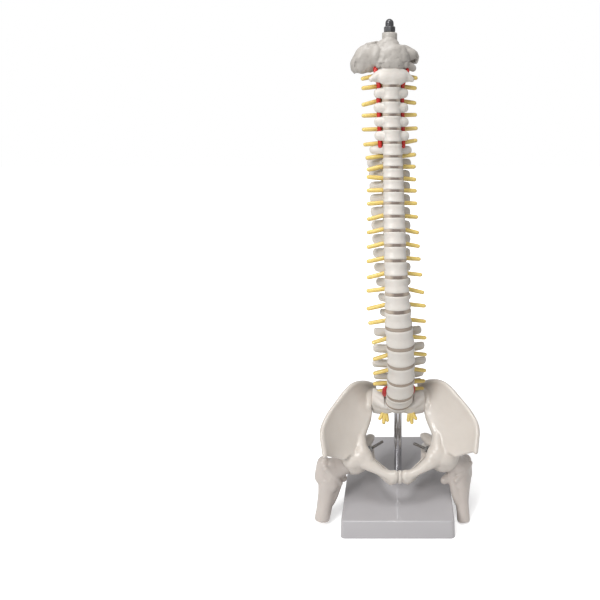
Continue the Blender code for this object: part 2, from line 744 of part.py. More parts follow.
def nerve_sweep(index, sign, extra=0.0):
    """One nerve stub, straight out through its gap and then drooping."""
    droops = NERVE_DROOP_RIGHT if sign < 0 else NERVE_DROOP_LEFT
    level = nerve_level(index)
    reach = size_at(NERVE_REACH, index) + extra
    bend_out = 0.0085
    slope = np.tan(radians(droops[index]))
    radius = NERVE_DIAMETER / 2 + extra
    path = [(sign * CORD_DIAMETER * 0.41, 0, level), (sign * bend_out, 0, level),
            (sign * (reach - 0.0012), 0, level - (reach - 0.0012 - bend_out) * slope),
            (sign * reach, 0, level - (reach - bend_out) * slope)]
    sizes = [radius, radius, radius, NERVE_TIP + extra]
    return limb(path, [(size, size) for size in sizes], sides=5)


def root_paths(sign):
    """The bundle of sacral roots on one side: a trunk and three strands, in the world."""
    start = core_point(-0.0012)
    trunk = [start + Vector((sign * 0.0037, 0, 0)), start + Vector((sign * 0.0060, 0, -0.001)),
             at(sign * 0.0092, 0.0040, 0.1100), at(sign * 0.0132, 0.0075, 0.1020)]
    strands = [[trunk[-1], at(sign * 0.0160, 0.0110, 0.0960), at(sign * 0.0190, 0.0130, 0.0935)],
               [trunk[-1], at(sign * 0.0142, 0.0115, 0.0940), at(sign * 0.0148, 0.0140, 0.0885)],
               [trunk[-1], at(sign * 0.0120, 0.0110, 0.0950), at(sign * 0.0112, 0.0130, 0.0905)]]
    return trunk, strands


def root_bundle(sign, extra=0.0):
    """The sacral roots of one side as solids."""
    trunk, strands = root_paths(sign)
    trunk[0] = trunk[0] - (trunk[1] - trunk[0]).normalized() * 3 * extra
    wide = 0.0021 + extra
    thin = 0.0015 + extra
    for strand in [trunk] + strands:
        strand[-1] = strand[-1] + (strand[-1] - strand[-2]).normalized() * 2 * extra
    solids = [limb(trunk, [(wide, wide)] * 4, up=(0, 1, 0))]
    for strand in strands:
        solids.append(limb(strand, [(thin, thin), (thin, thin), (thin * 0.7, thin * 0.7)],
                           up=(0, 1, 0)))
    return solids


def cord():
    """The spinal cord with all its nerve roots, one soft moulding around the core."""
    stations = [-0.0030] + list(STOPS) + [STOPS[-1] + ATLAS_HEIGHT]
    solid = tube(CORD_DIAMETER / 2, stations, 6, CORE_DIAMETER / 2 / cos(pi / 6) + GAP)
    stubs = [bend(nerve_sweep(index, sign)) for index in range(24) for sign in (-1, 1)]
    bundles = root_bundle(-1) + root_bundle(1)
    return thin_out(unite([solid] + stubs + bundles), NERVE_TRIANGLES)


def upright(profile, s, steps):
    """A turned piece that stands on the column at a height s."""
    mesh = turned(profile, steps)
    for vertex in mesh.vertices:
        vertex.co.z += s
    return bend(mesh)


SKULL_TOP = STOPS[23] + 0.0192
COLLAR_LOW = SKULL_TOP + GAP
COLLAR_HIGH = COLLAR_LOW + COLLAR_HEIGHT
CAP_LOW = COLLAR_HIGH + GAP
CORE_TOP = CAP_LOW + CAP_HEIGHT - 0.0026
BORE = (CORE_DIAMETER / 2 + GAP) / cos(pi / 10)


def skull_piece():
    """The occipital bone: condyles, a thick middle and a hood that curves down behind."""
    base = STOPS[23]
    forms = [limb([(0, -0.0045, base + 0.0101), (0, -0.0030, base + 0.0145),
                   (0, 0, SKULL_TOP + 0.001)],
                  [(0.0124, 0.0062), (0.0096, 0.0064), (0.0072, 0.0070)], sides=16, up=(0, 1, 0))]
    for side, out, low, wide, tall in ((-1, 0.0165, 0.0078, 0.0110, 0.0078),
                                       (1, 0.0150, 0.0118, 0.0090, 0.0046)):
        forms.append(ball((side * out, 0.0015, base + low), 1, 12, (wide, 0.0065, tall)))
        forms.append(rounded_limb([(side * 0.006, -0.002, base + 0.0150),
                                   (side * (out + wide * 0.5), 0.0030, base + low + tall * 0.5)],
                                  [0.0040, 0.0034]))
    roll = Matrix.Translation((0, 0, base + 0.014)) @ Matrix.Rotation(radians(-9), 4, "Y")
    roll = roll @ Matrix.Translation((-0.002, 0, -base - 0.014))
    rows = []
    for height, reach in ((-0.0020, 0.0265), (0.0040, 0.0275), (0.0100, 0.0245),
                          (0.0150, 0.0180), (0.0172, 0.0100)):
        row = []
        for n in range(13):
            angle = radians(-108 + 18 * n)
            row.append(Vector((reach * sin(angle), 0.62 * reach * cos(angle) + 0.004,
                               base + height)))
        rows.append(row)
    form = bmesh.new()
    grid = [[form.verts.new(p) for p in row] for row in rows]
    for low, high in zip(grid, grid[1:]):
        for i in range(len(low) - 1):
            form.faces.new((low[i], low[i + 1], high[i + 1], high[i]))
    mesh = bpy.data.meshes.new("hood")
    form.to_mesh(mesh)
    form.free()
    item = bpy.data.objects.new("hood", mesh)
    bpy.context.scene.collection.objects.link(item)
    shell = item.modifiers.new("shell", "SOLIDIFY")
    shell.thickness = 0.0026
    shell.offset = 0
    hood = settle(item)
    hood.transform(roll)
    forms.append(hood)
    solid = blend(forms, 0.0008, 4, 280)
    hollow = [block((-0.0130, -0.0150, base - 0.010), (0.0130, 0.0140, base + 0.0101)),
              block((-0.0224, -0.0150, base - 0.010), (0.0224, 0.0020, base + 0.0082)),
              limb([(0, 0, base), (0, 0, base + 0.0130)],
                   [(CORD_DIAMETER / 2 + 2 * SLIDE,) * 2] * 2, sides=12, up=(0, 1, 0)),
              limb([(0, 0, base), (0, 0, SKULL_TOP + 0.004)], [(BORE, BORE)] * 2, sides=10,
                   up=(0, 1, 0)),
              block((-0.04, -0.04, SKULL_TOP), (0.04, 0.04, SKULL_TOP + 0.01))]
    for sign in (-1, 1):
        hollow += [nerve_sweep(23, sign, 1.5 * SLIDE), artery_bar(sign, 1.5 * SLIDE)]
    return bend(cut(solid, hollow))


def cap_nut():
    """A hexagon with a domed top and a blind hole for the core's end."""
    across = NUT_ACROSS / 2 / cos(pi / 6)
    dome = DOME_DIAMETER / 2
    hexagon = bar((0, 0, CAP_LOW), (0, 0, CAP_LOW + NUT_HEIGHT), across, sides=6)
    rise = CAP_HEIGHT - dome
    profile = [(0, CAP_HEIGHT)]
    profile += [(dome * sin(a), rise + dome * cos(a)) for a in (pi / 8, pi / 4, 3 * pi / 8)]
    profile += [(dome, rise), (dome, NUT_HEIGHT / 2), (0, NUT_HEIGHT / 2)]
    top = turned(profile, 14)
    for vertex in top.vertices:
        vertex.co.z += CAP_LOW
    hole = bar((0, 0, CAP_LOW - 0.001), (0, 0, CORE_TOP + GAP), BORE, sides=10)
    return bend(cut(unite([hexagon, top]), [hole]))


def collar():
    """The sleeve between the skull piece and the cap nut."""
    wide = COLLAR_DIAMETER / 2
    profile = [(BORE, COLLAR_HEIGHT), (wide - 0.0006, COLLAR_HEIGHT),
               (wide, COLLAR_HEIGHT - 0.0008), (wide, 0.0012), (wide + 0.0006, 0), (BORE, 0),
               (BORE, COLLAR_HEIGHT)]
    return upright(profile, COLLAR_LOW, 16)


def base_block():
    """The moulded base: drafted sides, rounded corners and a socket for the rod."""
    form = bmesh.new()
    bmesh.ops.create_cube(form, size=1)
    for vertex in form.verts:
        low = vertex.co.z < 0
        spread = BASE_DRAFT if low else 0
        vertex.co.x = (1 if vertex.co.x > 0 else -1) * (BASE_WIDTH / 2 + spread)
        vertex.co.y = (1 if vertex.co.y > 0 else -1) * (BASE_DEPTH / 2 + spread)
        vertex.co.z = 0 if low else BASE_HEIGHT
    corners = [e for e in form.edges if abs(e.verts[0].co.z - e.verts[1].co.z) > 0.001]
    bmesh.ops.bevel(form, geom=corners, offset=BASE_CORNER, segments=4, affect="EDGES",
                    profile=0.5)
    rim = [e for e in form.edges if min(v.co.z for v in e.verts) > BASE_HEIGHT - 1e-5]
    bmesh.ops.bevel(form, geom=rim, offset=BASE_EDGE, segments=2, affect="EDGES", profile=0.5)
    mesh = bpy.data.meshes.new("base")
    form.to_mesh(mesh)
    form.free()
    socket = bar((0, 0, BASE_HEIGHT - ROD_SEAT), (0, 0, BASE_HEIGHT + 0.01),
                 ROD_DIAMETER / 2 + GAP, sides=20)
    return cut(mesh, [socket])


def rod():
    """The plated rod, with a blind hole in its top end for the core."""
    wide = ROD_DIAMETER / 2
    foot = BASE_HEIGHT - ROD_SEAT + GAP
    seat = ROD_TOP - CORE_SEAT
    profile = [(0, seat), (BORE, seat), (BORE, ROD_TOP), (wide - ROD_CHAMFER, ROD_TOP),
               (wide, ROD_TOP - ROD_CHAMFER), (wide, foot + ROD_CHAMFER),
               (wide - ROD_CHAMFER, foot), (0, foot)]
    return turned(profile, 20)


def core():
    """The bendable steel core from the rod's hole to the cap nut."""
    low = -CORE_BEND - CORE_SEAT + GAP
    stations = [low, -CORE_BEND, -CORE_BEND * 0.66, -0.0030] + list(STOPS)
    stations += [STOPS[-1] + ATLAS_HEIGHT, CORE_TOP]
    return tube(CORE_DIAMETER / 2, stations, 6)


def pelvis_place(point):
    """Turn a pelvis point about the rod."""
    return Matrix.Rotation(radians(PELVIS_TURN), 4, "Z") @ Vector(point)


def turn_pelvis(mesh):
    """Turn a pelvis mesh about the rod."""
    mesh.transform(Matrix.Rotation(radians(PELVIS_TURN), 4, "Z"))
    return mesh


def mirrored(mesh):
    """The same form for the other side."""
    mesh.transform(Matrix.Diagonal((-1, 1, 1, 1)))
    mesh.flip_normals()
    return mesh


def path_at(*points):
    """A path from (across, forward, up) in millimetres."""
    return [at(x / 1000, f / 1000, z / 1000) for x, f, z in points]


def joint_wall(inner):
    """The slanted block on one side of the joint between sacrum and hip bone."""
    shift = -GAP / 2 if inner else GAP / 2
    front, back = 0.0262 + shift, 0.0205 + shift
    far = 0.06 if inner else 0.0
    ahead = 0.015 if not inner else 0.03
    slope = (front - back) / 0.034
    rows = []
    for z in (0.080, 0.145):
        rows.append([at(back - 0.016 * slope, -0.042, z), at(front + (ahead - 0.010) * slope,
                                                             ahead, z),
                     at(far, ahead, z), at(far, -0.042, z)])
    return loft(rows)


def sacrum():
    """Sacrum and coccyx in one, bored for the rod and open to the canal."""
    spine = [((13.0, 109.5), 11.5, 7.6), ((3.5, 106.0), 23.0, 7.4), ((-7.5, 101.5), 19.5, 6.2),
             ((-18.0, 96.5), 15.0, 5.0), ((-27.0, 91.0), 10.0, 4.0), ((-33.0, 84.5), 5.5, 3.0),
             ((-37.0, 77.0), 2.4, 1.8)]
    path = path_at(*((0, f, z) for (f, z), _, _ in spine))
    halves = [(wide / 1000, deep / 1000) for _, wide, deep in spine]
    forms = [limb(path, halves, sides=16, up=(0, 0, 1))]
    for sign in (-1, 1):
        forms.append(limb(path_at((sign * 5, 9, 106), (sign * 13, 7, 106.5),
                                  (sign * 20, 3, 107), (sign * 27, -1, 107)),
                          [(0.0060, 0.0075), (0.0064, 0.0115), (0.0070, 0.0135),
                           (0.0070, 0.0135)], sides=14))
        forms.append(rounded_limb(path_at((sign * 10, -3, 117), (sign * 8, -10, 113)),
                                  [0.0032, 0.0030]))
    forms.append(rounded_limb(path_at((0, -1, 118), (0, -13, 110.5), (0, -25, 99)),
                              [0.0078, 0.0056, 0.0038]))
    cap_low = -disc_height(0) / 2 - GAP
    forms.append(bend(loft([body_ring(0, cap_low - 0.0070), body_ring(0, cap_low)])))
    solid = blend(forms, 0.0009, 5, 460)
    cutters = [bend(block((-0.0145, -0.0260, cap_low), (0.0145, 0.0170, 0.03)))]
    cutters.append(tube(CORD_DIAMETER / 2 + 2 * SLIDE,
                        [-CORE_BEND - 0.0010, -CORE_BEND * 0.6, -0.003, 0.002], 10))
    cutters.append(bar((0, 0, 0.08), (0, 0, ROD_TOP + GAP), ROD_DIAMETER / 2 + GAP, sides=20))
    for sign in (-1, 1):
        wall = joint_wall(True)
        cutters.append(turn_pelvis(wall if sign > 0 else mirrored(wall)))
        cutters += root_bundle(sign, SLIDE)
        cutters.append(bend(nerve_sweep(0, sign, SLIDE)))
        for f, z, out in ((-6.0, 100, 10.5), (-16.5, 95, 8.0), (-25, 90, 6.0)):
            low, high = path_at((sign * out, f + 4, z - 14), (sign * out, f - 6, z + 14))
            cutters.append(bar(low, high, 0.0015, sides=6))
    return thin_out(cut(solid, cutters), 1000)


def femur_frame(sign):
    """Where one thigh bone sits: each hangs at its own angle in its socket."""
    ahead, rise, swing = FEMUR_RIGHT if sign < 0 else FEMUR_LEFT
    centre = pelvis_place(at(sign * HIP_OUT, HIP_FORWARD, HIP_HEIGHT))
    return (Matrix.Translation(centre) @ Matrix.Rotation(radians(-sign * ahead), 4, "Z")
            @ Matrix.Rotation(radians(-sign * rise), 4, "Y")
            @ Matrix.Rotation(radians(-swing), 4, "X"))


def stud_ends(sign, start, end):
    """Two points along a stud, from the ball's centre inwards."""
    aim = STUD_AIM_RIGHT if sign < 0 else STUD_AIM_LEFT
    inward = Vector((-sign * aim[0], aim[1], aim[2])).normalized()
    centre = femur_frame(sign).to_translation()
    return centre + inward * start, centre + inward * end


def hip_bone(sign):
    """One hip bone with wing, socket, pubis and seat bone."""
    crest = [(22, -22, 112), (34, -6, 124), (45, 8, 128), (57, 22, 120), (66.5, 36, 111.5),
             (71, 48, 103), (68.5, 60, 88.5)]
    brim = [(23, -22, 100), (25, -8, 102), (25.5, 8, 99), (30, 16, 92), (35, 23, 84.5),
            (40, 33, 75), (52, 47, 76)]
    rows = []
    for v in (0.0, 0.25, 0.5, 0.75, 1.0):
        row = []
        for top, bottom in zip(crest, brim):
            hollow = 4.0 * 4 * v * (1 - v)
            x = bottom[0] + (top[0] - bottom[0]) * v + 0.45 * hollow
            f = bottom[1] + (top[1] - bottom[1]) * v - 0.75 * hollow
            z = bottom[2] + (top[2] - bottom[2]) * v - 0.35 * hollow
            row.append(at(x / 1000, f / 1000, z / 1000))
        rows.append(row)
    form = bmesh.new()
    grid = [[form.verts.new(p) for p in row] for row in rows]
    for low, high in zip(grid, grid[1:]):
        for i in range(len(low) - 1):
            form.faces.new((low[i], low[i + 1], high[i + 1], high[i]))
    mesh = bpy.data.meshes.new("wing")
    form.to_mesh(mesh)
    form.free()
    item = bpy.data.objects.new("wing", mesh)
    bpy.context.scene.collection.objects.link(item)
    shell = item.modifiers.new("shell", "SOLIDIFY")
    shell.thickness = 0.0040
    shell.offset = 0
    wing = settle(item)
    centre = at(HIP_OUT, HIP_FORWARD, HIP_HEIGHT)
    forms = [wing, rounded_limb(path_at(*crest), [0.0032] * 7),
             rounded_limb(path_at((26, -20, 106), (29, -4, 107), (29, 6, 104)),
                          [0.0062, 0.0070, 0.0050]),
             rounded_limb(path_at((27.5, 8, 99), (31, 14, 92), (36.5, 22, 83.5), (40, 27, 74),
                                  (40, 30, 66)), [0.0034, 0.0040, 0.0048, 0.0070, 0.0100]),
             rounded_limb(path_at((57, 49, 79), (50, 42, 71), (42, 34, 66)),
                          [0.0040, 0.0052, 0.0080]),
             ball(centre + at(-0.0015, -0.0010, 0.0010), HEAD_RADIUS + 0.0038),
             rounded_limb(path_at((38, 35, 67), (25, 42, 62.7), (14, 46, 53.8), (7.5, 47, 51)),
                          [0.0078, 0.0052, 0.0046, 0.0050]),
             rounded_limb(path_at((6.5, 47.5, 52), (6.5, 45.5, 47)), [0.0054, 0.0052]),
             rounded_limb(path_at((40, 18, 56), (33, 4, 52), (30, -8, 45)),
                          [0.0100, 0.0070, 0.0060]),
             rounded_limb(path_at((36, 10, 62), (29, -3, 61), (26, -8, 60)),
                          [0.0070, 0.0050, 0.0034]),
             rounded_limb(path_at((30, -8, 44), (25, 12, 40), (15, 32, 41), (8, 43, 43.5)),
                          [0.0054, 0.0036, 0.0034, 0.0040]),
             limb(path_at((35, 8, 52), (23, 27, 50.5), (11, 41, 50)),
                  [(0.0014, 0.0075), (0.0014, 0.0075), (0.0014, 0.0060)], sides=8)]
    solid = blend(forms, 0.0011, 6, 600)
    cutters = [ball(centre, HEAD_RADIUS + 2.5 * SLIDE, rings=8), joint_wall(False),
               block((-0.02, -0.08, 0.0), (SYMPHYSIS_HALF + GAP, 0.0, 0.085))]
    slot = path_at((25, 24, 51), (20, 31, 51))
    middle = (slot[0] + slot[1]) / 2
    across = Vector((0.75, -0.66, 0))
    cutters.append(limb([middle - across * 0.006, middle + across * 0.006],
                        [(0.0052, 0.0020)] * 2, sides=10))
    mouth = Vector((0.76, -0.52, -0.38)).normalized()
    cutters.append(bar(centre + mouth * 0.003, centre + mouth * 0.040,
                       HEAD_RADIUS + 0.0026, sides=16))
    solid = cut(solid, cutters)
    if sign < 0:
        solid = mirrored(solid)
    solid = turn_pelvis(solid)
    start, end = stud_ends(sign, 0.004, 0.030)
    seat, beyond = stud_ends(sign, HIP_NUT_PLACE - GAP, 0.034)
    neck = femur_frame(sign)
    more = [bar(neck @ Vector((sign * 0.005, 0, -0.0015)), neck @ Vector((sign * 0.05, 0, -0.009)),
                HEAD_RADIUS - 0.0004, sides=12),
            bar(start, end, STUD_DIAMETER / 2 + SLIDE, sides=10),
            bar(seat, beyond, HIP_NUT_ACROSS / 2 + 0.0022, sides=12),
            bend(nerve_sweep(0, sign, SLIDE))]
    return thin_out(cut(solid, more), 820)


def symphysis():
    """The pad between the two pubic bones."""
    rows = []
    for side in (-1, 1):
        x = side * SYMPHYSIS_HALF
        row = []
        for n in range(10):
            angle = 2 * pi * n / 10
            row.append(at(x, 0.0465 + 0.0042 * cos(angle) + 0.0012 * sin(angle),
                          0.0500 + 0.0075 * sin(angle)))
        rows.append(row)
    return turn_pelvis(loft(rows))


def femur(sign):
    """A thigh bone stump: ball, neck, the two rolling mounds and the cut shaft."""
    forms = [ball((0, 0, 0), HEAD_RADIUS, rings=14),
             rounded_limb(path_at((4, 0, -1), (20, 0, -6)), [0.0078, 0.0094]),
             rounded_limb(path_at((22, 0, -4), (24, 1, -17)), [0.0102, 0.0104]),
             rounded_limb(path_at((28.5, -2, 2.5), (30.5, -1, -11)), [0.0066, 0.0080]),
             limb(path_at((25, 1, -12), (27.5, 2, -25), (31, 3.5, -38), (35.5, 5, -50.5)),
                  [(0.0104, 0.0094), (0.0086, 0.0080), (0.0076, 0.0073), (0.0076, 0.0073)],
                  sides=16, up=(0, 1, 0)),
             rounded_limb(path_at((16, -3, -16), (9.5, -4.5, -21)), [0.0062, 0.0042])]
    solid = blend(forms, 0.0009, 4, 280)
    if sign < 0:
        solid = mirrored(solid)
    solid.transform(femur_frame(sign))
    start, end = stud_ends(sign, HEAD_RADIUS - STUD_SEAT - GAP, HEAD_RADIUS + 0.004)
    floor = block((-0.12, -0.12, -0.05), (0.12, 0.12, FOOT_CLEARANCE))
    return cut(solid, [bar(start, end, STUD_DIAMETER / 2 + GAP, sides=10), floor])


def stud(sign):
    """The threaded stud from the ball through the socket wall."""
    start, end = stud_ends(sign, HEAD_RADIUS - STUD_SEAT, HEAD_RADIUS - STUD_SEAT + STUD_LENGTH)
    return bar(start, end, STUD_DIAMETER / 2, sides=10)


def hip_nut(sign):
    """The nut on the stud, inside the pelvis."""
    low, high = stud_ends(sign, HIP_NUT_PLACE, HIP_NUT_PLACE + HIP_NUT_HEIGHT)
    before, after = stud_ends(sign, HIP_NUT_PLACE - 0.002, HIP_NUT_PLACE + 0.006)
    hexagon = bar(low, high, HIP_NUT_ACROSS / 2 / cos(pi / 6), sides=6)
    return cut(hexagon, [bar(before, after, STUD_DIAMETER / 2 + GAP, sides=10)])


for number, name in enumerate(LEVELS[:22]):
    place("vertebra_" + name, vertebra(number), BONE)
place("axis_C2", axis(), BONE)
place("atlas_C1", atlas(), BONE)
for number in range(17):
    below = LEVELS[number - 1] if number else "S1"
    place("disc_%s_%s" % (LEVELS[number], below), disc(number), DISC)
place("base", base_block(), BASE)
place("stand_rod", rod(), STEEL)
place("core_wire", core(), STEEL)
place("spinal_cord_nerves", cord(), NERVE)
place("occipital_bone", skull_piece(), BONE)
place("top_collar", collar(), BONE)
place("cap_nut", cap_nut(), NUT)
place("sacrum", sacrum(), BONE)
place("pubic_symphysis", symphysis(), PELVIS)
for name, sign in (("right", -1), ("left", 1)):
    place("vertebral_artery_" + name, bend(artery_bar(sign)), ARTERY)
    place("hip_bone_" + name, hip_bone(sign), PELVIS)
    place("femur_" + name, femur(sign), PELVIS)
    place("hip_stud_" + name, stud(sign), STEEL)
    place("hip_nut_" + name, hip_nut(sign), STEEL)
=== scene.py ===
import bpy
import bmesh
import numpy as np
from math import cos, sin, tan, pi, radians
from mathutils import Matrix, Vector


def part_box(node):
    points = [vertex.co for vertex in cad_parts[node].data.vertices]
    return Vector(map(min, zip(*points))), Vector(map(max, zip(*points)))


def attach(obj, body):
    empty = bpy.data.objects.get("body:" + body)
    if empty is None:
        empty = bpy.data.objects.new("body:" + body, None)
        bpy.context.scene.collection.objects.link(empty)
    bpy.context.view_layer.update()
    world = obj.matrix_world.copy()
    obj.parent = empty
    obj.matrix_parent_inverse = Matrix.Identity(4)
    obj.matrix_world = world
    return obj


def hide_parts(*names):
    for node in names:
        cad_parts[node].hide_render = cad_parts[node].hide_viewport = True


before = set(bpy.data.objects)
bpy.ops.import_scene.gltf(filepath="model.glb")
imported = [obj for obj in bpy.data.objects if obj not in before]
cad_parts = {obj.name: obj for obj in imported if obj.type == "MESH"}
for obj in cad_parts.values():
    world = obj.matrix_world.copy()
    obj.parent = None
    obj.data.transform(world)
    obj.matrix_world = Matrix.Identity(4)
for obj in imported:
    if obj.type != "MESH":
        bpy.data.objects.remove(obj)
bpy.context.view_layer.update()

# A teaching model of the spine at half life size, with pelvis and thigh bone stumps, on a
# moulded stand. Metres, +Z up, the model faces -Y, and the origin lies under the base.

# Camera
# It stands in front of the model, a little above its middle, and looks down at the base.
# The model stands right of the picture's middle, so the lens is shifted sideways.
CAMERA_PLACE = (0.0, -0.491, 0.388)
CAMERA_LENS = 33.6
LOOK_DOWN = radians(19.65)
LENS_SHIFT = -0.163

lens = bpy.data.cameras.new("photo_camera")
lens.lens = CAMERA_LENS
lens.sensor_width = 36
lens.shift_x = LENS_SHIFT
lens.clip_start = 0.01
photo_camera = bpy.data.objects.new("photo_camera", lens)
photo_camera.location = CAMERA_PLACE
photo_camera.rotation_euler = (radians(90) - LOOK_DOWN, 0, 0)
bpy.context.scene.collection.objects.link(photo_camera)
bpy.context.scene.camera = photo_camera
bpy.context.scene.view_settings.view_transform = "Standard"

# Studio
# A white table that runs out of sight, a soft lamp at the left front, a weak one at the right
# and one above. The room around them is white to the camera and plainer as a light.
TABLE_SIZE = 6.0
TABLE_WHITE = (0.90, 0.90, 0.90, 1)
TABLE_GLOW = 0.42
TABLE_DROP = 0.0002
SHADOW_REACH = (0.20, 0.60)
ROOM_LEVEL = 0.42
LAMP_AIM = (0, 0, 0.22)


def feed(tree, node, inputs):
    """Fill a node's inputs: a socket is linked, a plain value is set."""
    for slot, value in inputs.items():
        if isinstance(value, bpy.types.NodeSocket):
            tree.links.new(value, node.inputs[slot])
        else:
            node.inputs[slot].default_value = value
    return node


def add_node(tree, kind, inputs=None, **settings):
    """A shader node with its settings and inputs."""
    node = tree.nodes.new("ShaderNode" + kind)
    for setting, value in settings.items():
        setattr(node, setting, value)
    return feed(tree, node, inputs or {})


def new_finish(name):
    """An empty material, its node tree and its surface shader."""
    finish = bpy.data.materials.new(name)
    finish.use_nodes = True
    return finish, finish.node_tree, finish.node_tree.nodes["Principled BSDF"]


room = bpy.data.worlds.new("white_room")
room.use_nodes = True
bpy.context.scene.world = room
air = room.node_tree
ray = add_node(air, "LightPath").outputs
seen = add_node(air, "Math", {0: ray["Is Camera Ray"], 1: ray["Is Transmission Ray"]},
                operation="MAXIMUM")
brightness = add_node(air, "MapRange", {"Value": seen.outputs[0], "To Min": ROOM_LEVEL})
feed(air, air.nodes["Background"], {"Color": (1, 1, 1, 1),
                                    "Strength": brightness.outputs["Result"]})

table_mesh = bpy.data.meshes.new("table_top")
half = TABLE_SIZE / 2
table_mesh.from_pydata([(-half, -half, 0), (half, -half, 0), (half, half, 0), (-half, half, 0)],
                       [], [(0, 1, 2, 3)])
table_top = bpy.data.objects.new("table_top", table_mesh)
table_top.location.z = -TABLE_DROP
bpy.context.scene.collection.objects.link(table_top)
table_paper, tree, surface = new_finish("white_table")
spot = add_node(tree, "TexCoord").outputs["Object"]
distance = add_node(tree, "VectorMath", {0: spot}, operation="LENGTH").outputs["Value"]
fading = add_node(tree, "MapRange", {"Value": distance, "From Min": SHADOW_REACH[0],
                                     "From Max": SHADOW_REACH[1], "To Min": TABLE_GLOW})
eye = add_node(tree, "LightPath").outputs["Is Camera Ray"]
glow = add_node(tree, "Math", {0: eye, 1: fading.outputs["Result"]}, operation="MULTIPLY")
feed(tree, surface, {"Base Color": TABLE_WHITE, "Roughness": 0.9, "Specular IOR Level": 0.0,
                     "Emission Color": (1, 1, 1, 1), "Emission Strength": glow.outputs[0]})
table_mesh.materials.append(table_paper)


def soft_lamp(name, place, size, power):
    """A square soft lamp aimed at the middle of the model."""
    light = bpy.data.lights.new(name, "AREA")
    light.size = size
    light.energy = power
    lamp = bpy.data.objects.new(name, light)
    lamp.location = place
    aim = Vector(LAMP_AIM) - Vector(place)
    lamp.rotation_euler = aim.to_track_quat("-Z", "Y").to_euler()
    bpy.context.scene.collection.objects.link(lamp)


soft_lamp("window_lamp", (-0.64, -0.92, 0.92), 0.42, 9.2)
soft_lamp("side_lamp", (0.85, -0.85, 0.50), 0.70, 0.3)
soft_lamp("top_lamp", (-0.10, -0.25, 1.30), 0.50, 7.0)

# Stand
# A pale grey glossy moulding with drafted sides, rounded corners and a fine eggshell grain.
# The plated rod is pressed into it.
BASE_LOW, BASE_HIGH = (Vector(corner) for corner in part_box("base"))
BASE_DRAFT = 0.00125
BASE_CORNER = 0.0042
BASE_EDGE = 0.0014
FOOT_EDGE = 0.0005


def cast_surface_group():
    """Cloudy tone, a hollows mask for painted shade, and pores on a soft orange peel, in the
    object's millimetres.
    """
    group = bpy.data.node_groups.new("cast_surface", "ShaderNodeTree")
    for label, value in (("Cloud Size", 8.0), ("Grain Size", 0.7), ("Pore Depth", 0.5)):
        group.interface.new_socket(label, in_out="INPUT",
                                   socket_type="NodeSocketFloat").default_value = value
    for label in ("Cloud", "Hollow", "Height"):
        group.interface.new_socket(label, in_out="OUTPUT", socket_type="NodeSocketFloat")
    given = group.nodes.new("NodeGroupInput").outputs
    place = add_node(group, "TexCoord").outputs["Object"]
    place = add_node(group, "VectorMath", {0: place, "Scale": 1000.0},
                     operation="SCALE").outputs[0]

    def reckon(operation, first, second):
        return add_node(group, "Math", {0: first, 1: second}, operation=operation).outputs[0]

    def noise(size, detail):
        return add_node(group, "TexNoise", {"Vector": place, "Detail": detail,
                                            "Scale": reckon("DIVIDE", 1.0, size)}).outputs["Fac"]
    # The hollows mask marks where a darker tone is painted as shade.
    pointed = add_node(group, "NewGeometry").outputs["Pointiness"]
    hollow = add_node(group, "MapRange", {"Value": pointed, "From Min": 0.50, "From Max": 0.40})
    pores = add_node(group, "TexVoronoi", {"Vector": place,
                                           "Scale": reckon("DIVIDE", 0.6, given["Grain Size"])})
    pit = add_node(group, "MapRange", {"Value": pores.outputs["Distance"], "From Max": 0.25})
    pit = reckon("MULTIPLY", pit.outputs["Result"], given["Pore Depth"])
    feed(group, group.nodes.new("NodeGroupOutput"),
         {"Cloud": noise(given["Cloud Size"], 3.0), "Hollow": hollow.outputs["Result"],
          "Height": reckon("ADD", noise(given["Grain Size"], 4.0), pit)})
    return group


CAST_SURFACE = cast_surface_group()


def two_tones(tree, share, first, second):
    """A colour between two by a share; each is a socket or a plain colour."""
    ends = {slot: tone if isinstance(tone, bpy.types.NodeSocket) else (*tone, 1)
            for slot, tone in (("A", first), ("B", second))}
    return add_node(tree, "Mix", {"Factor": share, **ends}, data_type="RGBA").outputs["Result"]


def cast_plastic(name, pale, warm, hollow_shade_tone, roughness, bump, cloud=8.0, grain=0.7, pores=0.4,
                 coat=0.0, soft=0.0):
    """A moulded plastic: two close tones in clouds, and a darker one painted in the hollows as
    shade.
    """
    shade, tree, surface = new_finish(name)
    cast = add_node(tree, "Group", {"Cloud Size": cloud, "Grain Size": grain,
                                    "Pore Depth": pores}, node_tree=CAST_SURFACE).outputs
    tones = two_tones(tree, cast["Cloud"], pale, warm)
    gloss = add_node(tree, "MapRange", {"Value": cast["Cloud"], "To Min": roughness - 0.05,
                                        "To Max": roughness + 0.07})
    relief = add_node(tree, "Bump", {"Strength": bump, "Distance": 0.0004,
                                     "Height": cast["Height"]})
    # The darker tone laid over the hollows is painted shade.
    feed(tree, surface, {"Base Color": two_tones(tree, cast["Hollow"], tones, hollow_shade_tone),
                         "Roughness": gloss.outputs["Result"],
                         "Normal": relief.outputs["Normal"], "Coat Weight": coat,
                         "Subsurface Weight": soft,
                         "Subsurface Radius": (0.003, 0.002, 0.0015)})
    return shade


def show(name, mesh, finish, body, slot, *nodes, sharp=None):
    """Put a finished piece into the scene, in place of its frame nodes where it has any."""
    mesh.materials.clear()
    mesh.materials.append(finish)
    mesh.shade_smooth()
    if sharp:
        mesh.set_sharp_from_angle(angle=radians(sharp))
    piece = bpy.data.objects.new(name, mesh)
    bpy.context.scene.collection.objects.link(piece)
    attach(piece, body)
    if nodes:
        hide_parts(*nodes)


def mesh_of(form):
    """A finished form as a mesh."""
    mesh = bpy.data.meshes.new("form")
    form.to_mesh(mesh)
    form.free()
    return mesh


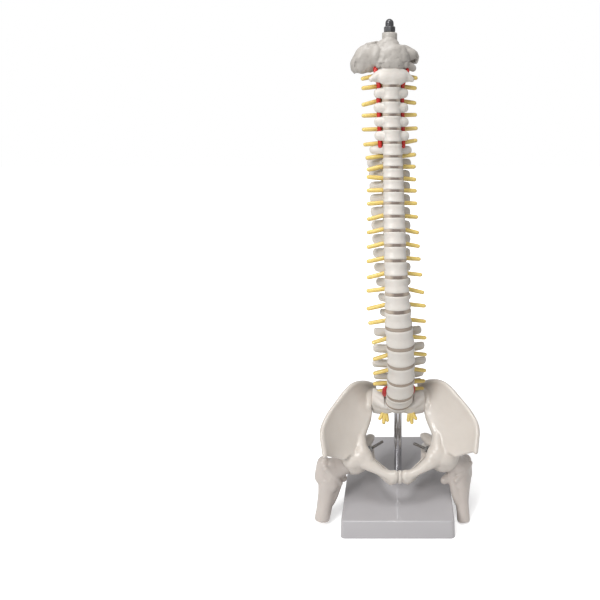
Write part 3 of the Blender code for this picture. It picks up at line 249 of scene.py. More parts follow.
def base_moulding():
    """A drafted block with round corners and softly broken edges."""
    form = bmesh.new()
    bmesh.ops.create_cube(form, size=1)
    for vertex in form.verts:
        low = vertex.co.z < 0
        inset = 0 if low else BASE_DRAFT
        vertex.co.x = BASE_HIGH.x - inset if vertex.co.x > 0 else BASE_LOW.x + inset
        vertex.co.y = BASE_HIGH.y - inset if vertex.co.y > 0 else BASE_LOW.y + inset
        vertex.co.z = BASE_LOW.z if low else BASE_HIGH.z

    def round_off(edges, width, segments):
        bmesh.ops.bevel(form, geom=edges, offset=width, segments=segments, affect="EDGES",
                        profile=0.5)
    round_off([e for e in form.edges if abs(e.verts[0].co.z - e.verts[1].co.z) > 0.001],
              BASE_CORNER, 10)
    for way, level, width, segments in ((1, BASE_HIGH.z, BASE_EDGE, 6),
                                        (-1, BASE_LOW.z, FOOT_EDGE, 3)):
        round_off([e for e in form.edges
                   if min(way * v.co.z for v in e.verts) > way * level - 1e-5
                   and len([f for f in e.link_faces if way * f.normal.z < 0.5]) == 1],
                  width, segments)
    return mesh_of(form)


# The third tone is painted shade in the hollows.
base_plastic = cast_plastic("base_plastic", (0.445, 0.430, 0.440), (0.42, 0.405, 0.415),
                            (0.33, 0.32, 0.33), 0.22, 0.03, cloud=25, grain=0.35, pores=0.1,
                            coat=0.3)
show("stand_base", base_moulding(), base_plastic, "model", "base", "base", sharp=40)

ROD_RADIUS = 0.004
ROD_CHAMFER = 0.0006
ROD_LOW, ROD_HIGH = (corner[2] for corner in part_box("stand_rod"))


def plated(name, tint, roughness):
    """Bright plating, a little clouded, with a fine grain in its gloss."""
    shade, tree, surface = new_finish(name)
    cast = add_node(tree, "Group", {"Cloud Size": 1.2, "Grain Size": 0.25},
                    node_tree=CAST_SURFACE).outputs
    gloss = add_node(tree, "MapRange", {"Value": cast["Height"], "To Min": roughness,
                                        "To Max": roughness + 0.06})
    darker = [0.82 * part for part in tint]
    feed(tree, surface, {"Metallic": 1.0, "Roughness": gloss.outputs["Result"],
                         "Base Color": two_tones(tree, cast["Cloud"], tint, darker)})
    return shade


def skin(rings):
    """A skin over a row of rings with the same number of points, with flat ends."""
    form = bmesh.new()
    rows = [[form.verts.new(point) for point in ring] for ring in rings]
    for low, high in zip(rows, rows[1:]):
        for i in range(len(low)):
            j = (i + 1) % len(low)
            form.faces.new((low[i], low[j], high[j], high[i]))
    form.faces.new(rows[0][::-1])
    form.faces.new(rows[-1])
    bmesh.ops.recalc_face_normals(form, faces=form.faces)
    return mesh_of(form)


def turned(profile, steps=64, foot=(0, 0, 0), start=0.0):
    """A turned or many-sided piece from (radius, height) points, with flat ends."""
    turns = [start + 2 * pi * n / steps for n in range(steps)]
    return skin([[Vector(foot) + Vector((r * cos(a), r * sin(a), z)) for a in turns]
                 for r, z in profile])


steel_plating = plated("steel_plating", (0.58, 0.58, 0.60), 0.10)
show("plated_rod", turned([(ROD_RADIUS - ROD_CHAMFER, ROD_LOW),
                           (ROD_RADIUS, ROD_LOW + ROD_CHAMFER),
                           (ROD_RADIUS, ROD_HIGH - ROD_CHAMFER),
                           (ROD_RADIUS - ROD_CHAMFER, ROD_HIGH)]),
     steel_plating, "model", "steel", "stand_rod", sharp=30)

# Curve of the column
# A steel core runs up the canal from the rod to the cap nut and holds the column in its
# natural curve. Pieces are shaped upright, with s along the canal, and then bent with it.
LEVELS = (["L%d" % n for n in range(5, 0, -1)] + ["T%d" % n for n in range(12, 0, -1)]
          + ["C%d" % n for n in range(7, 0, -1)])
ROD_TOP = 0.112
CORE_BEND = 0.0085
CURVE_STEP = 0.0001
PITCH_L5, PITCH_LUMBAR, PITCH_T12, PITCH_T1 = 0.0114, 0.0180, 0.0149, 0.0092
PITCH_CERVICAL, PITCH_C2 = 0.0113, 0.0132
LEAN_BY_LEVEL = {0: 36, 1: 23, 2: 16, 3: 11, 5: 1.5, 7: -6, 9: -12.5, 12: -14, 14: -11,
                 17: -6.5, 20: -2.5, 23: 1}
SWAY_BY_LEVEL = {0: 0.0004, 1: 0.0012, 2.5: 0.0022, 4: 0.0013, 5: -0.0006, 9: -0.0035,
                 13: -0.0048, 17: -0.0058, 21: -0.0073, 23: -0.0066}
TURN_BY_LEVEL = {0: 4, 5: 7, 12: 9, 17: 11, 23: 14}


def pitch_of(level):
    """Height of one vertebra with its disc."""
    if level[0] == "T":
        return PITCH_T1 + (PITCH_T12 - PITCH_T1) * (int(level[1:]) - 1) / 11
    special = {"L5": PITCH_L5, "C2": PITCH_C2}
    return special.get(level, PITCH_LUMBAR if level[0] == "L" else PITCH_CERVICAL)


def read_table(table, places):
    """Values between the chosen ones of a table, straight between neighbours."""
    keys = sorted(table)
    return np.interp(places, keys, [table[key] for key in keys])


STOPS = np.concatenate([[0.0], np.cumsum([pitch_of(name) for name in LEVELS[:-1]])])
FINE = np.arange(-CORE_BEND, STOPS[-1] + 0.05, CURVE_STEP)
LEAN = np.radians(np.interp(FINE, np.concatenate([[-CORE_BEND], STOPS]),
                            np.concatenate([[0.0], read_table(LEAN_BY_LEVEL, range(24))])))
MIDDLE_LEAN = (LEAN[1:] + LEAN[:-1]) / 2
FORWARD = np.concatenate([[0.0], np.cumsum(np.sin(MIDDLE_LEAN) * CURVE_STEP)])
HEIGHT = ROD_TOP + np.concatenate([[0.0], np.cumsum(np.cos(MIDDLE_LEAN) * CURVE_STEP)])


def bend_points(points):
    """Move points (rows of x, y, s) from the upright column to the curved one."""
    points = np.asarray(points, dtype=float).reshape(-1, 3)
    held = np.clip(points[:, 2], 0.0, STOPS[-1])
    number = np.interp(held, STOPS, np.arange(24))
    lean = np.interp(held, FINE, LEAN)
    turn = np.radians(read_table(TURN_BY_LEVEL, number))
    zero = np.zeros_like(held)
    origin = np.stack([read_table(SWAY_BY_LEVEL, number), -np.interp(held, FINE, FORWARD),
                       np.interp(held, FINE, HEIGHT)], 1)
    up = np.stack([zero, -np.sin(lean), np.cos(lean)], 1)
    level_back = np.stack([zero, np.cos(lean), np.sin(lean)], 1)
    right = np.array([1.0, 0.0, 0.0])
    across = right * np.cos(turn)[:, None] + level_back * np.sin(turn)[:, None]
    back = level_back * np.cos(turn)[:, None] - right * np.sin(turn)[:, None]
    return (origin + up * (points[:, 2] - held)[:, None] + across * points[:, :1]
            + back * points[:, 1:2])


def bent(mesh):
    """Bend a mesh that was shaped upright."""
    points = np.empty(len(mesh.vertices) * 3)
    mesh.vertices.foreach_get("co", points)
    mesh.vertices.foreach_set("co", bend_points(points).ravel())
    mesh.update()
    return mesh


def by_level(table, number):
    """A size from a table by level name; a vertebra's middle lies half above its disc."""
    return float(read_table({LEVELS.index(name) + 0.5: value for name, value in table.items()},
                            number))


# Vertebrae
# Cast in matt ivory plastic: a waisted body with raised rims, a bow around the canal, side
# lobes, joint faces and a spine behind. They are threaded on the core from the sacrum up.
BODY_WIDTH = {"L5": .0266, "L3": .0258, "L1": .0258, "T12": .0241, "T9": .0200, "T5": .0187,
              "T1": .0173, "C7": .0163, "C6": .0158, "C3": .0156}
BODY_DEPTH = {"L5": .0172, "L1": .0165, "T9": .0152, "T5": .0133, "T1": .0112, "C3": .0100}
BODY_WAIST = {"L5": .93, "L1": .92, "T9": .93, "T1": .95, "C3": .96}
BODY_RIMS = [(0, .965), (.04, .99), (.09, 1.0), (.18, .985), (.32, .955), (.5, None),
             (.68, .955), (.82, .985), (.91, 1.0), (.96, .99), (1, .965)]
DISC_HEIGHT = {"L5": .0025, "L1": .0025, "T9": .0019, "T1": .0014, "C3": .0013}
GAP = 0.0002
CANAL_DEPTH = {"L5": .0048, "T12": .0045, "T9": .0042, "C3": .0042}
CANAL_WIDTH = {"L5": .0062, "L1": .0056, "T9": .0044, "T1": .0048, "C7": .0052, "C3": .0052}
PEDICLE_HALF = {"L5": .0026, "L1": .0021, "T9": .0017, "T1": .0016, "C7": .0014, "C3": .0013}
PEDICLE_LEVEL = {"L5": .62, "T12": .63, "T1": .62, "C7": .52, "C3": .50}
PLATE_HALF = 0.0012
PLATE_LEVEL = 0.47
LOBE_SPAN = {"L5": .046, "L3": .0516, "L2": .0488, "L1": .0446, "T12": .0290, "T11": .0300,
             "T9": .0335, "T6": .0355, "T2": .0370, "T1": .0390, "C7": .0365, "C6": .0292,
             "C3": .0286, "C2": .0320}
LOBE_ROOT_BACK = {"L5": .0048, "L1": .0042, "T12": .0042, "T9": .0046, "T1": .0044,
                  "C7": -.0040, "C6": -.0086, "C3": -.0086}
LOBE_TIP_BACK = {"L5": .0062, "L1": .0075, "T12": .0090, "T9": .0130, "T1": .0100,
                 "C7": .0004, "C6": -.0070, "C3": -.0070}
LOBE_LEVEL = {"L5": .46, "L4": .34, "L3": .30, "L1": .28, "T12": .42, "T9": .44, "T1": .46,
              "C7": .50, "C6": .50, "C3": .50}
LOBE_THICK = {"L5": .0025, "L1": .0022, "T9": .0026, "T1": .0026, "C7": .0030, "C6": .0030,
              "C3": .0030}
LOBE_TALL = {"L5": .0042, "L3": .0050, "L1": .0048, "T12": .0040, "T9": .0046, "T5": .0046,
             "T1": .0040, "C7": .0036, "C6": .0041, "C3": .0041}
SPINE_TIP_BACK = {"L5": .0190, "L3": .0240, "L1": .0230, "T12": .0205, "T9": .0205,
                  "T5": .0200, "T1": .0225, "C7": .0215, "C6": .0160, "C3": .0140}
SPINE_DROP = {"L5": .0005, "L1": .0015, "T12": .0040, "T9": .0095, "T7": .0130, "T5": .0130,
              "T2": .0080, "T1": .0055, "C7": .0040, "C3": .0020}
SPINE_TALL = {"L5": .0024, "L3": .0042, "L1": .0039, "T12": .0030, "T9": .0021, "T1": .0019,
              "C3": .0014}
BONE_VOXEL = {"L": 0.00059, "T": 0.00052, "C": 0.00047}
BONE_GRAIN = 0.0025


def settled(item):
    """Take an object's finished mesh and remove the object."""
    graph = bpy.context.evaluated_depsgraph_get()
    graph.update()
    mesh = bpy.data.meshes.new_from_object(item.evaluated_get(graph))
    bpy.data.objects.remove(item, do_unlink=True)
    return mesh


def loose(mesh):
    """A mesh as an object, for modifiers."""
    item = bpy.data.objects.new("blank", mesh)
    bpy.context.scene.collection.objects.link(item)
    return item


def modify(item, kind, **settings):
    """Add a modifier with its settings."""
    change = item.modifiers.new(kind.lower(), kind)
    for setting, value in settings.items():
        setattr(change, setting, value)


def heap(meshes):
    """Several meshes in one, left overlapping."""
    form = bmesh.new()
    for mesh in meshes:
        form.from_mesh(mesh)
    return mesh_of(form)


def melt(forms, voxel, rounds, relief, grain):
    """Melt forms into one skin, smooth it, and give it the shallow relief of cast bone."""
    lumps = bpy.data.textures.new("bone_relief", "CLOUDS")
    lumps.noise_scale = grain
    lumps.noise_depth = 2
    item = loose(heap(forms))
    modify(item, "REMESH", mode="VOXEL", voxel_size=voxel)
    modify(item, "SMOOTH", iterations=rounds)
    modify(item, "DISPLACE", texture=lumps, texture_coords="GLOBAL", strength=relief)
    return settled(item)


def curve_points(points, count):
    """Points on a smooth curve through the given ones, evenly spread by their number."""
    points = [Vector(p) for p in points]
    if len(points) == 2:
        return [points[0].lerp(points[1], n / (count - 1)) for n in range(count)]
    result = []
    for n in range(count):
        place = n / (count - 1) * (len(points) - 1)
        i = min(int(place), len(points) - 2)
        t = place - i
        p1, p2 = points[i], points[i + 1]
        p0 = points[i - 1] if i else p1 * 2 - p2
        p3 = points[i + 2] if i + 2 < len(points) else p2 * 2 - p1
        result.append((p1 * 2 + (p2 - p0) * t + (p0 * 2 - p1 * 5 + p2 * 4 - p3) * t * t
                       + (p1 * 3 - p0 - p2 * 3 + p3) * t ** 3) / 2)
    return result


def branch(path, halves, up=(0, 0, 1), sides=16, domed=True, count=14):
    """A smooth limb along a path. A half is a radius, or a half width and half height."""
    centres = curve_points(path, count)
    pairs = [half if isinstance(half, tuple) else (half, half) for half in halves]
    places = np.linspace(0, len(pairs) - 1, count)
    wide, tall = (np.interp(places, range(len(pairs)), sizes) for sizes in zip(*pairs))
    rings = []
    for i, centre in enumerate(centres):
        along = (centres[min(i + 1, count - 1)] - centres[max(i - 1, 0)]).normalized()
        side = along.cross(Vector(up)).normalized()
        rings.append((centre, along, side, side.cross(along).normalized(), wide[i], tall[i]))
    if domed:
        start, end = [[(c + a * way * min(w, t) * out, a, s, r, w * k, t * k)
                       for out, k in ((0.97, 0.25), (0.80, 0.60), (0.45, 0.89))]
                      for way, (c, a, s, r, w, t) in ((-1, rings[0]), (1, rings[-1]))]
        rings = start + rings + end[::-1]
    turns = [2 * pi * n / sides for n in range(sides)]
    return skin([[c + s * w * cos(a) + r * t * sin(a) for a in turns]
                 for c, _, s, r, w, t in rings])


def through(stations, **more):
    """A limb through stations, each a point and its half sizes."""
    points, halves = zip(*stations)
    return branch(points, halves, **more)


def other_side(stations):
    """The same stations on the other side, in the opposite order."""
    return [((-x, y, s), half) for (x, y, s), half in reversed(stations)]


def egg(centre, halves, steps=12):
    """An egg-shaped form from its middle and its half sizes."""
    form = bmesh.new()
    bmesh.ops.create_uvsphere(form, u_segments=2 * steps, v_segments=steps, radius=1,
                              matrix=Matrix.Translation(centre)
                              @ Matrix.Diagonal((*halves, 1)))
    return mesh_of(form)


def body_outline(number, s, scale=1.0, sides=40):
    """A body from above: a deep curve in front and a flat back, a little hollow."""
    width = by_level(BODY_WIDTH, number) * scale
    depth = by_level(BODY_DEPTH, number)
    middle = -by_level(CANAL_DEPTH, number) - 0.38 * depth
    ring = []
    for n in range(sides):
        angle = 2 * pi * n / sides
        sweep = sin(angle)
        reach = 0.38 * depth * sweep ** 0.7 if sweep > 0 else 0.60 * depth * sweep
        ring.append((width / 2 * cos(angle), middle + reach * scale, s))
    return ring


def vertebral_body(index):
    """The drum of one vertebra, waisted between its rims."""
    low = STOPS[index] + by_level(DISC_HEIGHT, index) / 2 + GAP
    high = STOPS[index + 1] - by_level(DISC_HEIGHT, index + 1) / 2 - GAP
    waist = by_level(BODY_WAIST, index + 0.5)
    return skin([body_outline(index + share, low + (high - low) * share, scale or waist)
                 for share, scale in BODY_RIMS])


def plate_of(index):
    """A vertebra's height with its disc, and the level of its arch's plate."""
    pitch = STOPS[index + 1] - STOPS[index]
    return pitch, STOPS[index] + PLATE_LEVEL * pitch


def bow(index):
    """The arch behind the body: two stalks, and two plates that meet behind the canal."""
    number = index + 0.5
    pitch, plate = plate_of(index)
    deep = by_level(CANAL_DEPTH, number)
    half = by_level(PEDICLE_HALF, number)
    out = by_level(CANAL_WIDTH, number) + half
    root = STOPS[index] + by_level(PEDICLE_LEVEL, number) * pitch
    right = [((out, -deep - 0.0015, root), (half, 0.19 * pitch)),
             ((out, 0.0010, root), (half, 0.19 * pitch)),
             ((out * 0.80, deep + 0.0012, (root + plate) / 2), (half * 0.7, 0.23 * pitch))]
    middle = ((0, deep + PLATE_HALF * 2.2, plate), (PLATE_HALF * 1.2, 0.27 * pitch))
    return through(right + [middle] + other_side(right), count=28, domed=False)


def side_lobe(index, sign):
    """One side process: a flat rounded lobe, thick at its root."""
    number = index + 0.5
    level = STOPS[index] + by_level(LOBE_LEVEL, number) * plate_of(index)[0]
    root = by_level(CANAL_WIDTH, number) + by_level(PEDICLE_HALF, number) - 0.0004
    root_back = by_level(LOBE_ROOT_BACK, number)
    tip_back = by_level(LOBE_TIP_BACK, number)
    thick = by_level(LOBE_THICK, number)
    tall = by_level(LOBE_TALL, number)
    tip = by_level(LOBE_SPAN, number) / 2 - min(thick, tall) * 0.85
    path = [(sign * (root + (tip - root) * share), root_back + (tip_back - root_back) * share,
             level) for share in (0, 0.35, 0.7, 1)]
    return branch(path, [(thick, tall * 1.05), (thick * 0.95, tall), (thick, tall),
                         (thick * 0.9, tall * 0.92)])


def rear_spine(index):
    """The spine behind the canal, with a knobbed tip, forked in the neck."""
    number = index + 0.5
    root = plate_of(index)[1]
    start = by_level(CANAL_DEPTH, number) + PLATE_HALF * 1.6
    tip = by_level(SPINE_TIP_BACK, number) - 0.0012
    drop = by_level(SPINE_DROP, number)
    tall = by_level(SPINE_TALL, number)
    path = [(0, start, root), (0, start * 0.4 + tip * 0.6, root - drop * 0.5),
            (0, tip, root - drop)]
    forms = [branch(path, [(0.0015, tall), (0.0010, tall * 0.95), (0.0013, tall * 0.9)])]
    if LEVELS[index] in ("C2", "C3", "C4", "C5", "C6"):
        for sign in (-1, 1):
            forms.append(branch([(0, tip - 0.002, root - drop),
                                 (sign * 0.0020, tip + 0.0008, root - drop - 0.0006)],
                                [(0.0011, 0.0012), (0.0009, 0.0010)], count=5))
    return forms


def joint_faces(index, sign, own_upper=True):
    """The upper and lower joint process on one side."""
    pitch, plate = plate_of(index)

    def face(number, spread, back, end):
        out = (by_level(CANAL_WIDTH, number) + by_level(PEDICLE_HALF, number)) * spread
        return egg((sign * out, by_level(CANAL_DEPTH, number) + back, (plate + end) / 2),
                   (0.0021, 0.0012, abs(end - plate) / 2 + 0.0004))
    upper = face(index + 1, 1.0, 0.0010, STOPS[index + 1] + 0.07 * pitch)
    lower = face(index, 0.86, 0.0038, STOPS[index] - 0.042 * pitch)
    return [upper, lower] if own_upper else [lower]


# The third tone is painted shade in the hollows.
bone_plastic = cast_plastic("bone_plastic", (0.66, 0.625, 0.585), (0.60, 0.56, 0.51),
                            (0.36, 0.31, 0.26), 0.36, 0.16, cloud=6, grain=0.5, pores=0.35,
                            soft=0.10)

for index, level in enumerate(LEVELS[:22]):
    forms = [vertebral_body(index), bow(index)] + rear_spine(index)
    for sign in (-1, 1):
        forms += [side_lobe(index, sign)] + joint_faces(index, sign)
    bone = melt([bent(form) for form in forms], BONE_VOXEL[level[0]], rounds=3, relief=0.00022,
                grain=BONE_GRAIN)
    show("bone_" + level, bone, bone_plastic, "model", "bone", "vertebra_" + level)

# Discs
# Soft brown pads between the bodies, a little set back from their rims. The one above L5 is
# slipped: a red bulge stands out beside it on both sides, larger on the model's right.
DISC_BULGE = [(-1.0, .950), (-0.55, .968), (0, .974), (0.55, .968), (1.0, .950)]
BULGE_RIGHT = (0.0030, 0.0034, 0.0064)
BULGE_LEFT = (0.0016, 0.0024, 0.0060)
BULGE_BACK = -0.0068
PAD_OVERLAP = 0.0003


def disc_pad(index):
    """One disc with a softly bulged edge, and a share of darker tone on its front: from T11 up,
    painted shade of the narrow gap across the middle of the front; lower down, an even share that
    only darkens the tone.
    """
    half = by_level(DISC_HEIGHT, index) / 2 + PAD_OVERLAP
    pad = skin([body_outline(index, STOPS[index] + side * half, scale)
                for side, scale in DISC_BULGE])
    width = by_level(BODY_WIDTH, index) / 2
    # Share of the dark tone: painted gap shade in the front middle from T11 up, an even darker
    # tone below.
    front_tone_and_shade = pad.attributes.new("tone_and_gap_shade", "FLOAT", "POINT")
    for vertex, share in zip(pad.vertices, front_tone_and_shade.data):
        aside = abs(vertex.co.x) / width
        share.value = float(np.interp(aside, (0.30, 0.62), (1.0, 0.0))) if index > 5 else 0.45
    return bent(pad)


def lay_over(shade, share, tone):
    """Lay another tone over a plastic's own by a share socket."""
    tree = shade.node_tree
    surface = tree.nodes["Principled BSDF"]
    own = surface.inputs["Base Color"].links[0].from_socket
    feed(tree, surface, {"Base Color": two_tones(tree, share, own, tone)})


# The third tone is painted shade in the hollows.
disc_rubber = cast_plastic("disc_rubber", (0.50, 0.42, 0.34), (0.40, 0.33, 0.26),
                           (0.22, 0.17, 0.13), 0.55, 0.3, cloud=2.5, grain=0.3, pores=0.3)
# The dark front tone is painted shade of the narrow gap on the upper discs, and a plain darker
# tone on the lower ones.
tone_and_gap_shade = add_node(disc_rubber.node_tree, "Attribute", attribute_name="tone_and_gap_shade")
lay_over(disc_rubber, tone_and_gap_shade.outputs["Fac"], (0.19, 0.15, 0.125))
# The third tone is painted shade in the hollows.
slipped_rubber = cast_plastic("slipped_disc_red", (0.50, 0.012, 0.012), (0.36, 0.008, 0.010),
                              (0.18, 0.004, 0.005), 0.32, 0.2, cloud=2.0, grain=0.3, coat=0.3)
for index in range(17):
    below = LEVELS[index - 1] if index else "S1"
    show("pad_" + LEVELS[index], disc_pad(index), disc_rubber, "model", "disc",
         "disc_%s_%s" % (LEVELS[index], below), sharp=50)
show("pads_neck", heap([disc_pad(index) for index in range(17, 23)]), disc_rubber, "model",
     "disc", sharp=50)

bulges = []
for (wide, deep, tall), side in ((BULGE_RIGHT, -1), (BULGE_LEFT, 1)):
    edge = by_level(BODY_WIDTH, 1) / 2
    middle = Vector((side * (edge + wide * 0.25), BULGE_BACK, STOPS[1] - tall * 0.36))
    bulges.append(egg(middle, (wide, deep, tall), 16))
    bulges.append(branch([middle, middle + Vector((-side * wide * 0.5, 0, tall * 1.05))],
                         [(wide * 0.7, deep * 0.8), (wide * 0.15, deep * 0.5)], up=(0, 1, 0)))
slipped = melt([bent(form) for form in bulges], 0.0003, rounds=3, relief=0.0005, grain=0.002)
show("slipped_disc", slipped, slipped_rubber, "model", "artery")

# Cord, nerves and neck arteries
# One soft yellow moulding is the spinal cord with all its roots, fanned out at the sacrum.
# Two red cords run up through the side lobes of the neck.
CORD_RADIUS = 0.0034
NERVE_HALF = {"L5": .0021, "T1": .0021, "C7": .0019, "C3": .0019}
NERVE_BEND_OUT = 0.0085
NERVE_REACH = {"L5": .0245, "L1": .0245, "T12": .0265, "T9": .0235, "T5": .0215, "T1": .0205,
               "C6": .0235, "C3": .0225, "C1": .0235}
NERVE_DROOP_RIGHT = [12, 2, 14, 16, 15, 7, 11, 5, 13, 11, 13, 12, 14, 5, 2, -4, 13, 8, 6, 2,
                     3, 14, 7, 12]
NERVE_DROOP_LEFT = [8, 3, 16, 10, 8, 10, 9, 15, 7, 4, 10, 12, 4, 2, 2, 5, 0, -6, -9, -3,
                    -1, 7, 6, 9]
NERVE_RISE = {"L5": .14, "T12": .12, "T1": .10, "C7": 0, "C3": 0}
ATLAS_HEIGHT = 0.0098
ATLAS_NERVE_DROP = 0.0046
ROOT_RADIUS = 0.0021


def nerve_root(index, sign):
    """One nerve from the cord: a swelling in its gap, then a drooping round-ended stub."""
    level = STOPS[23] - ATLAS_NERVE_DROP
    if index < 23:
        level = STOPS[index] + by_level(NERVE_RISE, index) * (STOPS[index + 1] - STOPS[index])
    droop = tan(radians((NERVE_DROOP_RIGHT if sign < 0 else NERVE_DROOP_LEFT)[index]))
    reach = by_level(NERVE_REACH, index)
    path = [(sign * x, 0, level - max(x - NERVE_BEND_OUT, 0) * droop)
            for x in (0.0028, NERVE_BEND_OUT, NERVE_BEND_OUT * 0.5 + reach * 0.5, reach - 0.0009)]
    half = by_level(NERVE_HALF, index)
    sizes = [half * 0.85, half, half, half * 0.92]
    return bent(branch(path, [(r, r * 0.94) for r in sizes], sides=14, count=12))


def pelvis_point(x, forward, z):
    """A place in millimetres from across, forward of the rod, and up."""
    return Vector((x / 1000, -forward / 1000, z / 1000))


def sacral_roots(sign):
    """The last roots of one side: a trunk that leaves the cord's end, and three strands."""
    start = Vector(bend_points([(0, 0, 0)])[0]) + Vector((0, 0, -0.0011))
    trunk = [start + Vector((sign * 0.0037, 0, 0)), start + Vector((sign * 0.0060, 0, -0.001)),
             pelvis_point(sign * 9.2, 4.0, 110), pelvis_point(sign * 13.2, 7.5, 102)]
    strands = [branch(trunk, [ROOT_RADIUS] * 4, up=(0, 1, 0), sides=14)]
    for *tips, end_radius in (((15.2, 11.0, 97.5), (17.6, 13.0, 94.0), 0.0017),
                              ((13.4, 11.5, 95.5), (13.8, 14.0, 90.0), 0.0017),
                              ((11.2, 11.0, 96.5), (10.2, 13.0, 92.0), 0.0017)):
        points = [pelvis_point(sign * x, forward, z) for x, forward, z in tips]
        strands.append(branch(trunk[-1:] + points, [ROOT_RADIUS, 0.0020, end_radius],
                              up=(0, 1, 0), sides=14))
    return strands


def soft_rubber(name, clear, deep, edge, roughness):
    """Soft moulded rubber in two clouded tones, with a deeper tone painted as shade towards the
    silhouette and in its dents.
    """
    shade = cast_plastic(name, clear, deep, edge, roughness, 0.12, cloud=1.6, grain=0.35,
                         pores=0.2, coat=0.25, soft=0.08)
    # Layer Weight lays the deeper tone towards the silhouette as painted shade.
    silhouette_shade = add_node(shade.node_tree, "LayerWeight", {"Blend": 0.22})
    lay_over(shade, silhouette_shade.outputs["Facing"], edge)
    return shade


# The third tone is painted shade, in the dents and towards the silhouette.
nerve_rubber = soft_rubber("nerve_rubber", (0.78, 0.60, 0.19), (0.72, 0.53, 0.14),
                           (0.56, 0.36, 0.07), 0.36)
cord_steps = np.linspace(-0.0030, STOPS[-1] + ATLAS_HEIGHT, 120)
cord = branch(bend_points([(0, 0, s) for s in cord_steps]), [CORD_RADIUS] * 2, up=(0, 1, 0),
              sides=20, count=160, domed=False)
roots = [nerve_root(index, sign) for index in range(24) for sign in (-1, 1)]
show("cord_and_nerves", heap([cord] + roots + sacral_roots(-1) + sacral_roots(1)), nerve_rubber,
     "model", "nerve", "spinal_cord_nerves")

SIDES = (("right", -1), ("left", 1))
ARTERY_RADIUS = 0.0019
ARTERY_OUT = 0.0099
ARTERY_FORWARD = 0.0048
# The third tone is painted shade, in the dents and towards the silhouette.
artery_rubber = soft_rubber("artery_rubber", (0.70, 0.034, 0.022), (0.56, 0.018, 0.014),
                            (0.26, 0.006, 0.008), 0.26)
for name, sign in SIDES:
    path = [(sign * (ARTERY_OUT + out), back - ARTERY_FORWARD, level)
            for out, back, level in [(0, 0, STOPS[18] - 0.0026)]
            + [(0, 0, STOPS[index]) for index in (19, 20, 21, 22)]
            + [(0.0030, -0.0018, STOPS[23] - 0.0026), (0.0026, 0.0024, STOPS[23] + 0.0014)]]
    show("neck_artery_" + name,
         bent(branch(path, [ARTERY_RADIUS] * 2, up=(0, 1, 0), sides=18, count=60)),
         artery_rubber, "model", "artery", "vertebral_artery_" + name)

# Axis and atlas
# C2 has sloping shoulders and the peg that C1 turns on. C1 is a ring with thick sides and
# a flat front, whose upper edge nearly meets the skull piece.
PEG_RADIUS = 0.0024
PEG_CLEAR = 0.0004
VESSEL_HOLE = 0.0005
AXIS_TOP = 0.0096
ATLAS_MIDDLE = 0.0046


def carve(mesh, cutters):
    """A mesh less its cutters."""
    for cutter in cutters:
        item, knife = loose(mesh), loose(cutter)
        modify(item, "BOOLEAN", operation="DIFFERENCE", object=knife, solver="EXACT")
        mesh = settled(item)
        bpy.data.objects.remove(knife, do_unlink=True)
    return mesh


def round_bar(start, end, radius, sides=48, taper=1.0):
    """A straight round bar between two points."""
    start, end = Vector(start), Vector(end)
    along = end - start
    form = bmesh.new()
    bmesh.ops.create_cone(form, cap_ends=True, segments=sides, radius1=radius,
                          radius2=radius * taper, depth=along.length,
                          matrix=Matrix.Translation((start + end) / 2)
                          @ along.to_track_quat("Z", "Y").to_matrix().to_4x4())
    return mesh_of(form)


def axis_bone():
    """C2, shaped upright and bent with the column."""
    low = STOPS[22] + by_level(DISC_HEIGHT, 22) / 2 + GAP
    top = STOPS[22] + AXIS_TOP
    deep = by_level(CANAL_DEPTH, 22.5)
    wing = -deep - 0.0034
    body = skin([body_outline(22, low, 0.98), body_outline(22, low + 0.0010, 1.02),
                 body_outline(22, low + 0.0045, 0.97), body_outline(22, top - 0.0010, 0.70)])
    slope = [((0.0088, wing - 0.0012, top - 0.0004), (0.0034, 0.0042)),
             ((0.0168, wing, top - 0.0046), (0.0024, 0.0022))]
    middle = ((0, wing - 0.0026, top + 0.0012), (0.0036, 0.0042))
    shoulder = through(other_side(slope) + [middle] + slope, count=26)
    peg_back = -deep - PEG_RADIUS - 0.0016
    peg = branch([(0, peg_back, top - 0.003), (0, peg_back, STOPS[23] + 0.0052)],
                 [PEG_RADIUS] * 2, up=(0, 1, 0))
    forms = [body, shoulder, peg, bow(22)] + rear_spine(22)
    forms.append(egg((0, wing - 0.0024, top - 0.0030), (0.0125, 0.0044, 0.0074)))
    for sign in (-1, 1):
        forms += [side_lobe(22, sign)] + joint_faces(22, sign, own_upper=False)
    return melt([bent(form) for form in forms], BONE_VOXEL["C"], rounds=12, relief=0.00025,
                grain=BONE_GRAIN)


